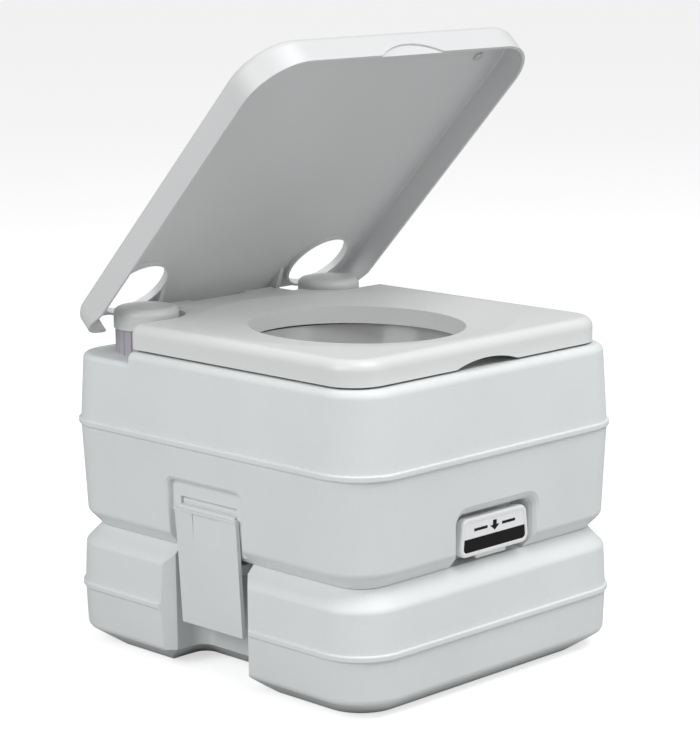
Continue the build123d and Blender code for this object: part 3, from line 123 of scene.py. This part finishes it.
class Signal:
    """A number or vector on a node's output, with Python arithmetic that adds Math nodes."""

    def __init__(self, bench: "Bench", socket: bpy.types.NodeSocket) -> None:
        """Keeps the bench that the socket's node stands on.

        Args:
            bench: The node tree's helper.
            socket: The output socket that carries the value.
        """
        self.bench = bench
        self.socket = socket

    def _maths(self, operation: str, first: Number, second: Number) -> "Signal":
        """One Math node on two values.

        Args:
            operation: The Math node's operation.
            first: Its first value.
            second: Its second value.

        Returns:
            The node's value.
        """
        return self.bench.node("ShaderNodeMath", {"operation": operation}, {0: first, 1: second})

    def __add__(self, other: Number) -> "Signal":
        """self + other."""
        return self._maths("ADD", self, other)

    def __radd__(self, other: Number) -> "Signal":
        """other + self."""
        return self._maths("ADD", other, self)

    def __sub__(self, other: Number) -> "Signal":
        """self - other."""
        return self._maths("SUBTRACT", self, other)

    def __rsub__(self, other: Number) -> "Signal":
        """other - self."""
        return self._maths("SUBTRACT", other, self)

    def __mul__(self, other: Number) -> "Signal":
        """self * other."""
        return self._maths("MULTIPLY", self, other)

    def __rmul__(self, other: Number) -> "Signal":
        """other * self."""
        return self._maths("MULTIPLY", other, self)

    def __truediv__(self, other: Number) -> "Signal":
        """self / other."""
        return self._maths("DIVIDE", self, other)

    def __rtruediv__(self, other: Number) -> "Signal":
        """other / self."""
        return self._maths("DIVIDE", other, self)

    def __pow__(self, other: Number) -> "Signal":
        """self to the power of other."""
        return self._maths("POWER", self, other)

    def __rpow__(self, other: Number) -> "Signal":
        """other to the power of self."""
        return self._maths("POWER", other, self)


@dataclass
class Bench:
    """Builds one material's nodes round its Principled shader."""

    material: bpy.types.Material

    def __post_init__(self) -> None:
        """Finds the shader and adds the object's own coordinates."""
        self.material.use_nodes = True
        self.tree = self.material.node_tree
        self.shader = next(n for n in self.tree.nodes if n.type == "BSDF_PRINCIPLED")
        self.place = self.node("ShaderNodeTexCoord", {}, {}, "Object")

    def node(
        self,
        kind: str,
        settings: dict[str, Any],
        values: dict[Union[int, str], Any],
        output: Union[int, str] = 0,
    ) -> Signal:
        """Adds a node, sets it up, and fills or links its inputs.

        Args:
            kind: The node's type.
            settings: Its properties; "stops" fills a colour ramp.
            values: Its inputs, by name or place: a number, a tuple or a Signal.
            output: The output to hand back, by name or place.

        Returns:
            The chosen output.
        """
        made = self.tree.nodes.new(kind)
        for name, setting in settings.items():
            if name == "stops":
                self._fill_ramp(made.color_ramp, setting)
            else:
                setattr(made, name, setting)
        for key, value in values.items():
            self.feed(made.inputs[key], value)
        return Signal(self, made.outputs[output])

    def feed(self, socket: bpy.types.NodeSocket, value: Any) -> None:
        """Links a Signal to an input, or sets the input to a constant.

        Args:
            socket: The input.
            value: A Signal, a number or a tuple.
        """
        if isinstance(value, Signal):
            self.tree.links.new(value.socket, socket)
        else:
            socket.default_value = value

    @staticmethod
    def _fill_ramp(ramp: bpy.types.ColorRamp, stops: Iterable[tuple[float, float]]) -> None:
        """Gives a colour ramp its grey stops.

        Args:
            ramp: The ramp, with its two first stops.
            stops: Pairs of place and grey value, from low to high.
        """
        stops = list(stops)
        while len(ramp.elements) < len(stops):
            ramp.elements.new(0.5)
        for element, (where, grey) in zip(ramp.elements, stops):
            element.position = where
            element.color = (grey, grey, grey, 1.0)

    def stretched(self, scale: tuple[float, float, float]) -> Signal:
        """The object's coordinates, scaled differently along each axis."""
        return self.node("ShaderNodeMapping", {}, {"Vector": self.place, "Scale": scale})

    def noise(self, scale: float, detail: float = 2.0, where: Signal | None = None) -> Signal:
        """A noise value over the object.

        Args:
            scale: Features per metre.
            detail: How many finer layers it has.
            where: Coordinates, if not the object's own.

        Returns:
            A value about 0.5, mostly from 0.3 to 0.7.
        """
        values = {"Vector": where or self.place, "Scale": scale, "Detail": detail}
        return self.node("ShaderNodeTexNoise", {}, values)

    def blend(self, share: Number, first: Any, second: Any) -> Signal:
        """Mixes two colours.

        Args:
            share: How much of the second colour, 0 to 1.
            first: A colour or a Signal.
            second: A colour or a Signal.

        Returns:
            The mixed colour.
        """
        wide = [(*c, 1.0) if isinstance(c, tuple) else c for c in (first, second)]
        return self.node(
            "ShaderNodeMix", {"data_type": "RGBA"}, {0: share, 6: wide[0], 7: wide[1]}, 2
        )

    def bump(self, height: Signal, distance: float, strength: float = 1.0) -> Signal:
        """Turns a height into a normal.

        Args:
            height: The height, 0 to 1.
            distance: What a height of 1 is, in metres.
            strength: How much of it counts.

        Returns:
            The normal.
        """
        values = {"Strength": strength, "Distance": distance, "Height": height}
        return self.node("ShaderNodeBump", {}, values)

    def set(self, **sockets: Any) -> None:
        """Feeds the shader's sockets, named with underscores for spaces."""
        for name, value in sockets.items():
            self.feed(self.shader.inputs[name.replace("_", " ")], value)


# -------------------------------------------------------------------- finishes


@dataclass(frozen=True)
class Finish:
    """What every finish has: a name, a slot and a base colour, in linear light."""

    name: str
    slot: Slot
    colour: Colour

    def make(self) -> bpy.types.Material:
        """Builds the material.

        Returns:
            The finished material, which is made once for each finish.
        """
        known = bpy.data.materials.get(self.name)
        if known is not None:
            return known
        material = bpy.data.materials.new(self.name)
        bench = Bench(material)
        self.dress(bench)
        return material

    def dress(self, bench: Bench) -> None:
        """Fills the material's nodes; each kind of finish does this its own way."""
        raise NotImplementedError

    def tone(self, factor: float) -> Colour:
        """The base colour, lighter or darker by a factor."""
        return tuple(min(1.0, c * factor) for c in self.colour)


@dataclass(frozen=True)
class MouldedPlastic(Finish):
    """Moulded plastic: faint clouding in the colour and a grain pressed in by the mould."""

    roughness: float = 0.45
    roughness_swing: float = 0.08
    grain: float = 700.0  # grains per metre
    grain_depth: float = 0.00006
    clouding: float = 0.03
    specular: float = 0.4
    cloud_scale: float = 9.0  # clouds per metre

    def dress(self, bench: Bench) -> None:
        """Clouded colour, uneven gloss and a pebbled grain."""
        clouds = bench.noise(self.cloud_scale, 4.0)
        specks = bench.noise(self.grain * 0.6, 1.0)
        share = (clouds - 0.5) * 2.0 + (specks - 0.5) * 0.6 + 0.5
        pebbles = bench.node(
            "ShaderNodeTexVoronoi",
            {"feature": "SMOOTH_F1"},
            {"Vector": bench.place, "Scale": self.grain, "Smoothness": 0.6},
        )
        height = pebbles * 0.7 + bench.noise(self.grain * 0.45, 2.0) * 0.6
        low = self.tone(1.0 - self.clouding)
        high = self.tone(1.0 + self.clouding)
        bench.set(
            Base_Color=bench.blend(share, low, high),
            Roughness=self.roughness + (clouds - 0.5) * self.roughness_swing,
            Specular_IOR_Level=self.specular,
            Normal=bench.bump(height, self.grain_depth),
        )


@dataclass(frozen=True)
class PolishedPlastic(Finish):
    """Smooth, satin or glossy moulded plastic with a faint orange-peel surface."""

    roughness: float = 0.25
    coat: float = 0.12
    peel: float = 45.0
    peel_depth: float = 0.000004
    clouding: float = 0.015
    cloud_scale: float = 14.0
    mark_scale: float = 35.0  # handling marks per metre

    def dress(self, bench: Bench) -> None:
        """Even colour, soft ripples and softly varied gloss."""
        clouds = bench.noise(self.cloud_scale, 3.0)
        marks = bench.noise(self.mark_scale, 2.0)
        peel = bench.noise(self.peel, 1.0)
        low = self.tone(1.0 - self.clouding)
        high = self.tone(1.0 + self.clouding)
        bench.set(
            Base_Color=bench.blend(clouds, low, high),
            Roughness=self.roughness + (marks - 0.5) * 0.05 + (clouds - 0.5) * 0.04,
            Specular_IOR_Level=0.5,
            Coat_Weight=self.coat,
            Coat_Roughness=0.2,
            Normal=bench.bump(peel, self.peel_depth),
        )


@dataclass(frozen=True)
class Rubber(Finish):
    """Black or grey moulded rubber with a dusty bloom."""

    roughness: float = 0.7

    def dress(self, bench: Bench) -> None:
        """Dark colour with pale bloom in patches, and a fine matt grain."""
        bloom = bench.noise(45.0, 5.0)
        dust = bench.node("ShaderNodeValToRGB", {"stops": [(0.45, 0.0), (0.8, 1.0)]}, {0: bloom})
        pale = tuple(min(1.0, c * 1.6 + 0.02) for c in self.colour)
        bench.set(
            Base_Color=bench.blend(dust, self.colour, pale),
            Roughness=self.roughness + (bloom - 0.5) * 0.2,
            Specular_IOR_Level=0.35,
            Normal=bench.bump(bench.noise(1500.0, 2.0), 0.00003),
        )


@dataclass(frozen=True)
class BrushedSteel(Finish):
    """Bright stainless steel, brushed round and along."""

    roughness: float = 0.3

    def dress(self, bench: Bench) -> None:
        """Streaked gloss and colour on metal."""
        streaks = bench.noise(400.0, 4.0, bench.stretched((0.08, 1.0, 1.0)))
        dull = tuple(c * 0.82 for c in self.colour)
        bench.set(
            Base_Color=bench.blend(streaks, dull, self.colour),
            Metallic=1.0,
            Roughness=self.roughness + (streaks - 0.5) * 0.25,
            Normal=bench.bump(streaks, 0.00001),
        )


@dataclass(frozen=True)
class PrintedFilm(Finish):
    """Ink on glossy label film: flat colour with the film's faint waviness."""

    roughness: float = 0.45
    coat: float = 0.05
    specular: float = 0.3

    def dress(self, bench: Bench) -> None:
        """Flat ink under a clear film."""
        waves = bench.noise(110.0, 1.0)
        ink = tuple(min(1.0, c * 1.08 + 0.003) for c in self.colour)
        bench.set(
            Base_Color=bench.blend(waves, self.colour, ink),
            Roughness=self.roughness + (waves - 0.5) * 0.06,
            Specular_IOR_Level=self.specular,
            Coat_Weight=self.coat,
            Coat_Roughness=0.1,
            Normal=bench.bump(waves, 0.00002),
        )


GRAINED_TANK = MouldedPlastic("grained_tank", Slot.TANK, (0.775, 0.8, 0.8), roughness=0.5)
LATCH_PLASTIC = MouldedPlastic(
    "latch_plastic", Slot.TANK, (0.775, 0.8, 0.805), roughness=0.45, grain=900.0, grain_depth=0.00003
)
SATIN_SEAT = PolishedPlastic("satin_seat", Slot.SEAT, (0.76, 0.775, 0.77), roughness=0.36)
LID_SATIN = PolishedPlastic("lid_plastic", Slot.SEAT, (0.715, 0.725, 0.73), roughness=0.4)
SATIN_CAP = PolishedPlastic("satin_cap", Slot.CAP, (0.72, 0.73, 0.73), roughness=0.34)
RIBBED_COLLAR = MouldedPlastic(
    "ribbed_collar", Slot.COLLAR, (0.46, 0.44, 0.49), roughness=0.4, grain=900.0, grain_depth=0.00003
)
GLOSS_BOWL = PolishedPlastic("gloss_bowl", Slot.BOWL, (0.55, 0.55, 0.555), roughness=0.18)
INNER_PLASTIC = MouldedPlastic(
    "inner_plastic", Slot.INNER, (0.62, 0.63, 0.63), roughness=0.4, grain=900.0, grain_depth=0.00002
)
SPOUT_PLASTIC = MouldedPlastic(
    "spout_plastic", Slot.SPOUT, (0.42, 0.43, 0.45), roughness=0.42, grain=800.0, grain_depth=0.00003
)
GLOSS_HANDLE = PolishedPlastic("gloss_handle", Slot.HANDLE, (0.9, 0.905, 0.91), roughness=0.16)
BLACK_RUBBER = Rubber("black_rubber", Slot.RUBBER, (0.03, 0.03, 0.032))
PALE_RUBBER = Rubber("pale_rubber", Slot.RUBBER, (0.52, 0.53, 0.535), roughness=0.5)
GREY_HOSE = Rubber("grey_hose", Slot.HOSE, (0.32, 0.34, 0.36), roughness=0.4)
STAINLESS = BrushedSteel("stainless", Slot.STEEL, (0.72, 0.71, 0.7))
WHITE_FILM = PrintedFilm("white_film", Slot.LABEL, (0.86, 0.87, 0.875))
BLACK_INK = PrintedFilm("black_ink", Slot.LABEL, (0.006, 0.005, 0.006), specular=0.15)


# ----------------------------------------------------------------- mesh helpers


def new_piece(name: str, mesh: bmesh.types.BMesh, finish: Finish, body: str) -> bpy.types.Object:
    """Turns a finished bmesh into a piece that rides on a body.

    Args:
        name: The piece's name.
        mesh: Its bmesh, in place, which is freed.
        finish: Its finish.
        body: The CAD body that it moves with.

    Returns:
        The new object, at the origin.
    """
    data = bpy.data.meshes.new(name)
    for face in mesh.faces:
        face.smooth = True
    mesh.to_mesh(data)
    mesh.free()
    data.materials.append(finish.make())
    data.set_sharp_from_angle(angle=SHARP_ANGLE)
    piece = bpy.data.objects.new(name, data)
    bpy.context.scene.collection.objects.link(piece)
    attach(piece, body)
    log.info("%s: %d faces on %s", name, len(data.polygons), body)
    return piece


def upright_slab(
    corners: Iterable[tuple[float, float]],
    front: float,
    thick: float,
    rounding: dict[int, float],
) -> bmesh.types.BMesh:
    """A thin slab that faces -Y, with rounded corners.

    Args:
        corners: X and Z of its corners, clockwise or anticlockwise.
        front: Y of its front face.
        thick: How thick it is, backwards from the front.
        rounding: The radius of each corner that is rounded, by its place in corners.

    Returns:
        The slab's bmesh.
    """
    slab = bmesh.new()
    points = [slab.verts.new((x, front + thick, z)) for x, z in corners]
    slab.faces.new(points)
    for radius in sorted(set(rounding.values())):
        chosen = [points[place] for place, r in rounding.items() if r == radius]
        bmesh.ops.bevel(
            slab,
            geom=chosen,
            offset=radius,
            offset_type="OFFSET",
            affect="VERTICES",
            segments=CORNER_SEGMENTS,
            profile=0.5,
            material=-1,
        )
    grown = bmesh.ops.extrude_face_region(slab, geom=slab.faces[:], use_keep_orig=True)
    moved = [v for v in grown["geom"] if isinstance(v, bmesh.types.BMVert)]
    bmesh.ops.translate(slab, verts=moved, vec=(0.0, -thick, 0.0))
    bmesh.ops.recalc_face_normals(slab, faces=slab.faces[:])
    return slab


# --------------------------------------------------------------- sub-assemblies


@dataclass
class SubAssembly:
    """A group of pieces that is dressed together."""

    frame: dict[str, Any]

    def dress_node(self, node: str, finish: Finish) -> None:
        """Puts a finish on a CAD node, whose shape stays as it is.

        Args:
            node: The node's name.
            finish: The finish.
        """
        shape = self.frame["nodes"][node]
        material = finish.make()
        for place in shape.material_slots:
            place.material = material
        log.info("%s: %s", node, finish.name)

    def build(self) -> None:
        """Dresses and builds the group's pieces."""
        raise NotImplementedError


@dataclass
class WasteTank(SubAssembly):
    """The lower tank, the slide valve on it and their seals."""

    def build(self) -> None:
        """Dresses the tank and the valve's pieces."""
        self.dress_node("waste_tank", GRAINED_TANK)
        for node in ("valve_base", "valve_cover", "valve_blade", "valve_stem"):
            self.dress_node(node, INNER_PLASTIC)
        for node in ("inlet_gasket", "valve_lip_seal"):
            self.dress_node(node, BLACK_RUBBER)
        self.dress_node("valve_screws", STAINLESS)


@dataclass
class PourSpout(SubAssembly):
    """The swivelling spout at the rear with its screw cap."""

    def build(self) -> None:
        """Dresses the spout, its collar, cap and seal."""
        self.dress_node("spout_collar", RIBBED_COLLAR)
        self.dress_node("pour_spout", SPOUT_PLASTIC)
        self.dress_node("spout_cap", RIBBED_COLLAR)
        self.dress_node("spout_cap_seal", BLACK_RUBBER)


@dataclass
class PullHandle(SubAssembly):
    """The white pull plate at the front with its printed label."""

    band_share: float = 0.46  # how much of the label's height the dark band takes
    print_thick: float = 0.00015
    corner: float = 0.0045
    band_gap: float = 0.0004  # pale line left round the band
    top_inset: float = 0.0031  # how much narrower the label is at its top, on each side
    arrow_half: float = 0.0062
    head_share: float = 0.8  # length of the arrow's head, as a share of its half width
    stalk_share: float = 0.75
    stalk_half_share: float = 0.4
    bar_place: float = 0.019  # from the arrow's middle to a bar's middle
    bar_half: float = 0.009
    bar_half_height: float = 0.0013

    def build(self) -> None:
        """Dresses the plate and prints the label's band, arrow and bars."""
        self.dress_node("pull_handle", GLOSS_HANDLE)
        self.dress_node("handle_label", WHITE_FILM)
        low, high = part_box("handle_label")
        self._band(low, high)
        self._arrow(low, high)

    def _band(self, low: Vector, high: Vector) -> None:
        """The dark band across the label's lower part.

        Args:
            low: The label's lowest corner.
            high: The label's highest corner.
        """
        gap = self.band_gap
        top = low.z + (high.z - low.z) * self.band_share
        x0, x1, z0 = low.x + gap, high.x - gap, low.z + gap
        lean = self.top_inset * self.band_share
        corners = [(x0, z0), (x1, z0), (x1 - lean, top), (x0 + lean, top)]
        rounding = {0: self.corner, 1: self.corner}
        band = upright_slab(corners, low.y - self.print_thick, self.print_thick, rounding)
        new_piece("label_band", band, BLACK_INK, "valve_slide")

    def _arrow(self, low: Vector, high: Vector) -> None:
        """A pull arrow between two bars in the label's pale field.

        Args:
            low: The label's lowest corner.
            high: The label's highest corner.
        """
        middle = (low.x + high.x) / 2
        band_top = low.z + (high.z - low.z) * self.band_share
        z = (band_top + high.z) / 2
        half = self.arrow_half
        stalk_half = half * self.stalk_half_share
        stalk_top = z + half * self.stalk_share
        front = low.y - self.print_thick
        head = [(middle - half, z), (middle + half, z), (middle, z - half * self.head_share)]
        stalk = [
            (middle - stalk_half, z),
            (middle + stalk_half, z),
            (middle + stalk_half, stalk_top),
            (middle - stalk_half, stalk_top),
        ]
        marks = {"label_arrow_head": head, "label_arrow_stalk": stalk}
        for side in Side:
            x = middle + side.value * self.bar_place
            marks[f"label_bar_{side.word}"] = [
                (x - self.bar_half, z - self.bar_half_height),
                (x + self.bar_half, z - self.bar_half_height),
                (x + self.bar_half, z + self.bar_half_height),
                (x - self.bar_half, z + self.bar_half_height),
            ]
        for name, corners in marks.items():
            mark = upright_slab(corners, front, self.print_thick, {})
            new_piece(name, mark, BLACK_INK, "valve_slide")


@dataclass
class FlushTank(SubAssembly):
    """The upper tank with the bowl set in it."""

    def build(self) -> None:
        """Dresses the tank, the bowl and the bowl's gasket."""
        self.dress_node("flush_tank", GRAINED_TANK)
        self.dress_node("bowl", GLOSS_BOWL)
        self.dress_node("bowl_gasket", BLACK_RUBBER)


@dataclass
class FlushPump(SubAssembly):
    """The press-down pump at the left rear, its bellows and its hose to the bowl."""

    folds: int = 5
    fold_steps: int = 10
    crest: float = 0.022
    fold_depth: float = 0.006
    rubber: float = 0.001
    stroke: float = 0.01  # how far the cap goes down
    spin_steps: int = 64

    def build(self) -> None:
        """Dresses the pump's pieces."""
        self.dress_node("pump_cap", SATIN_CAP)
        self.dress_node("pump_collar", RIBBED_COLLAR)
        for node in ("pump_body", "dip_tube", "flush_nozzle"):
            self.dress_node(node, INNER_PLASTIC)
        self.dress_node("flush_hose", GREY_HOSE)
        self.dress_node("pump_check_ball", STAINLESS)
        self._bellows()

    def _bellows(self) -> None:
        """The rounded folds of the bellows, spun in the CAD bellows' place, which they hide."""
        low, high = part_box("pump_bellows")
        centre = (low + high) / 2
        pitch = (high.z - low.z) / self.folds
        waist = self.crest - self.fold_depth
        steps = self.folds * self.fold_steps
        outside = []
        for step in range(steps + 1):
            share = step / self.fold_steps
            swell = math.sqrt(abs(math.sin(math.pi * share)))
            outside.append((waist + self.fold_depth * swell, low.z + pitch * share))
        inside = [(radius - self.rubber, z) for radius, z in reversed(outside)]
        mesh = bmesh.new()
        ring = [mesh.verts.new((centre.x + r, centre.y, z)) for r, z in outside + inside]
        edges = [mesh.edges.new((a, b)) for a, b in zip(ring, ring[1:] + ring[:1])]
        bmesh.ops.spin(
            mesh,
            geom=ring + edges,
            cent=(centre.x, centre.y, 0.0),
            axis=(0.0, 0.0, 1.0),
            angle=2.0 * math.pi,
            steps=self.spin_steps,
            use_merge=True,
        )
        bmesh.ops.recalc_face_normals(mesh, faces=mesh.faces[:])
        bellows = new_piece("bellows_folds", mesh, BLACK_RUBBER, "flush_tank")
        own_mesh(bellows)
        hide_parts("pump_bellows")


@dataclass
class WaterFiller(SubAssembly):
    """The filler neck at the right rear and its screw cap."""

    def build(self) -> None:
        """Dresses the neck, cap and gasket."""
        self.dress_node("fill_neck", RIBBED_COLLAR)
        self.dress_node("fill_cap", SATIN_CAP)
        self.dress_node("fill_gasket", BLACK_RUBBER)


@dataclass
class SideLatches(SubAssembly):
    """The two side latches on their pins."""

    def build(self) -> None:
        """Dresses both latches."""
        for side in Side:
            self.dress_node(f"latch_{side.word}", LATCH_PLASTIC)
            self.dress_node(f"latch_pin_{side.word}", STAINLESS)


@dataclass
class SeatAndLid(SubAssembly):
    """The seat, the lid, their feet and the hinge that both turn on."""

    def build(self) -> None:
        """Dresses the seat, lid and hinge."""
        self.dress_node("seat", SATIN_SEAT)
        self.dress_node("lid", LID_SATIN)
        for node in ("seat_bumpers", "lid_bumpers"):
            self.dress_node(node, PALE_RUBBER)
        for side in Side:
            self.dress_node(f"hinge_bracket_{side.word}", SATIN_SEAT)
            self.dress_node(f"hinge_pin_{side.word}", STAINLESS)
        self.dress_node("hinge_screws", STAINLESS)


# ----------------------------------------------------------------------- studio


@dataclass(frozen=True)
class SoftBox:
    """One soft studio light."""

    name: str
    place: tuple[float, float, float]
    target: tuple[float, float, float]
    width: float
    height: float
    power: float

    def hang(self) -> None:
        """Puts the light in the scene, aimed at its target."""
        lamp = bpy.data.lights.new(self.name, "AREA")
        lamp.shape = "RECTANGLE"
        lamp.size = self.width
        lamp.size_y = self.height
        lamp.energy = self.power
        holder = bpy.data.objects.new(self.name, lamp)
        holder.location = self.place
        aim = Vector(self.target) - Vector(self.place)
        holder.rotation_mode = "QUATERNION"
        holder.rotation_quaternion = aim.to_track_quat("-Z", "Y")
        bpy.context.scene.collection.objects.link(holder)


@dataclass
class Studio:
    """The white floor and surround, the soft lights and the camera."""

    eye: tuple[float, float, float] = (-1.6195, -1.6314, 0.7147)
    target: tuple[float, float, float] = (0.041, 0.030, 0.255)
    roll: float = math.radians(-0.489)
    lens: float = 116.94
    sensor: float = 36.0
    clip: tuple[float, float] = (0.05, 100.0)
    floor_radius: float = 30.0
    surround: float = 1.0
    glow: float = 0.36
    floor_glow: float = 0.55
    floor_shade: float = 0.46  # how much light the floor gives back to the object
    lights: tuple[SoftBox, ...] = (
        SoftBox("key", (0.4, -1.5, 2.7), (0.0, 0.0, 0.3), 2.0, 2.0, 56.0),
        SoftBox("left", (-2.5, 0.1, 1.5), (0.0, 0.0, 0.2), 1.8, 1.8, 34.0),
        SoftBox("front", (0.9, -2.8, 0.6), (0.0, 0.0, 0.2), 1.6, 1.0, 10.0),
    )

    def build(self) -> None:
        """Sets up the floor, surround, lights and camera."""
        self._floor()
        self._surround()
        for light in self.lights:
            light.hang()
        self._camera()

    def _floor(self) -> None:
        """A wide, plain pale floor."""
        sheet = bmesh.new()
        bmesh.ops.create_circle(sheet, cap_ends=True, segments=64, radius=self.floor_radius)
        data = bpy.data.meshes.new("floor")
        sheet.to_mesh(data)
        sheet.free()
        pale = bpy.data.materials.new("pale_floor")
        bench = Bench(pale)
        mottle = bench.noise(3.0, 3.0)
        bench.set(
            Base_Color=bench.blend(mottle, (0.9, 0.9, 0.9), (0.92, 0.92, 0.92)),
            Roughness=0.85,
            Specular_IOR_Level=0.1,
            Emission_Color=WHITE,
            Emission_Strength=self.floor_glow,
        )
        grey = (self.floor_shade, self.floor_shade, self.floor_shade, 1.0)
        returned = bench.node("ShaderNodeBsdfDiffuse", {}, {"Color": grey})
        seen = bench.node("ShaderNodeLightPath", {}, {}, "Is Camera Ray")
        shown = Signal(bench, bench.shader.outputs[0])
        mixed = bench.node("ShaderNodeMixShader", {}, {0: seen, 1: returned, 2: shown})
        bench.feed(bench.tree.nodes["Material Output"].inputs["Surface"], mixed)
        data.materials.append(pale)
        floor = bpy.data.objects.new("floor", data)
        bpy.context.scene.collection.objects.link(floor)

    def _surround(self) -> None:
        """An even white surround that the camera sees brighter than it lights."""
        world = bpy.data.worlds.new("surround")
        bpy.context.scene.world = world
        world.use_nodes = True
        tree = world.node_tree
        seen = tree.nodes["Background"]
        seen.inputs["Color"].default_value = WHITE
        seen.inputs["Strength"].default_value = self.surround
        lit = tree.nodes.new("ShaderNodeBackground")
        lit.inputs["Color"].default_value = WHITE
        lit.inputs["Strength"].default_value = self.glow
        path = tree.nodes.new("ShaderNodeLightPath")
        mix = tree.nodes.new("ShaderNodeMixShader")
        tree.links.new(path.outputs["Is Camera Ray"], mix.inputs[0])
        tree.links.new(lit.outputs[0], mix.inputs[1])
        tree.links.new(seen.outputs[0], mix.inputs[2])
        tree.links.new(mix.outputs[0], tree.nodes["World Output"].inputs["Surface"])
        bpy.context.scene.view_settings.view_transform = "Standard"

    def _camera(self) -> None:
        """The camera, at the front left and a little above."""
        data = bpy.data.cameras.new("camera")
        data.lens = self.lens
        data.sensor_width = self.sensor
        data.clip_start, data.clip_end = self.clip
        camera = bpy.data.objects.new("camera", data)
        camera.location = self.eye
        camera.rotation_mode = "QUATERNION"
        aim = (Vector(self.target) - Vector(self.eye)).to_track_quat("-Z", "Y")
        camera.rotation_quaternion = aim @ Quaternion((0.0, 0.0, 1.0), self.roll)
        bpy.context.scene.collection.objects.link(camera)
        bpy.context.scene.camera = camera


def main() -> None:
    """Loads the frame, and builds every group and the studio."""
    logging.basicConfig(level=logging.INFO, format="%(message)s")
    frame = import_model()
    groups = (
        WasteTank(frame),
        PourSpout(frame),
        PullHandle(frame),
        FlushTank(frame),
        FlushPump(frame),
        WaterFiller(frame),
        SideLatches(frame),
        SeatAndLid(frame),
    )
    for group in groups:
        group.build()
    Studio().build()


if __name__ == "__main__":
    main()
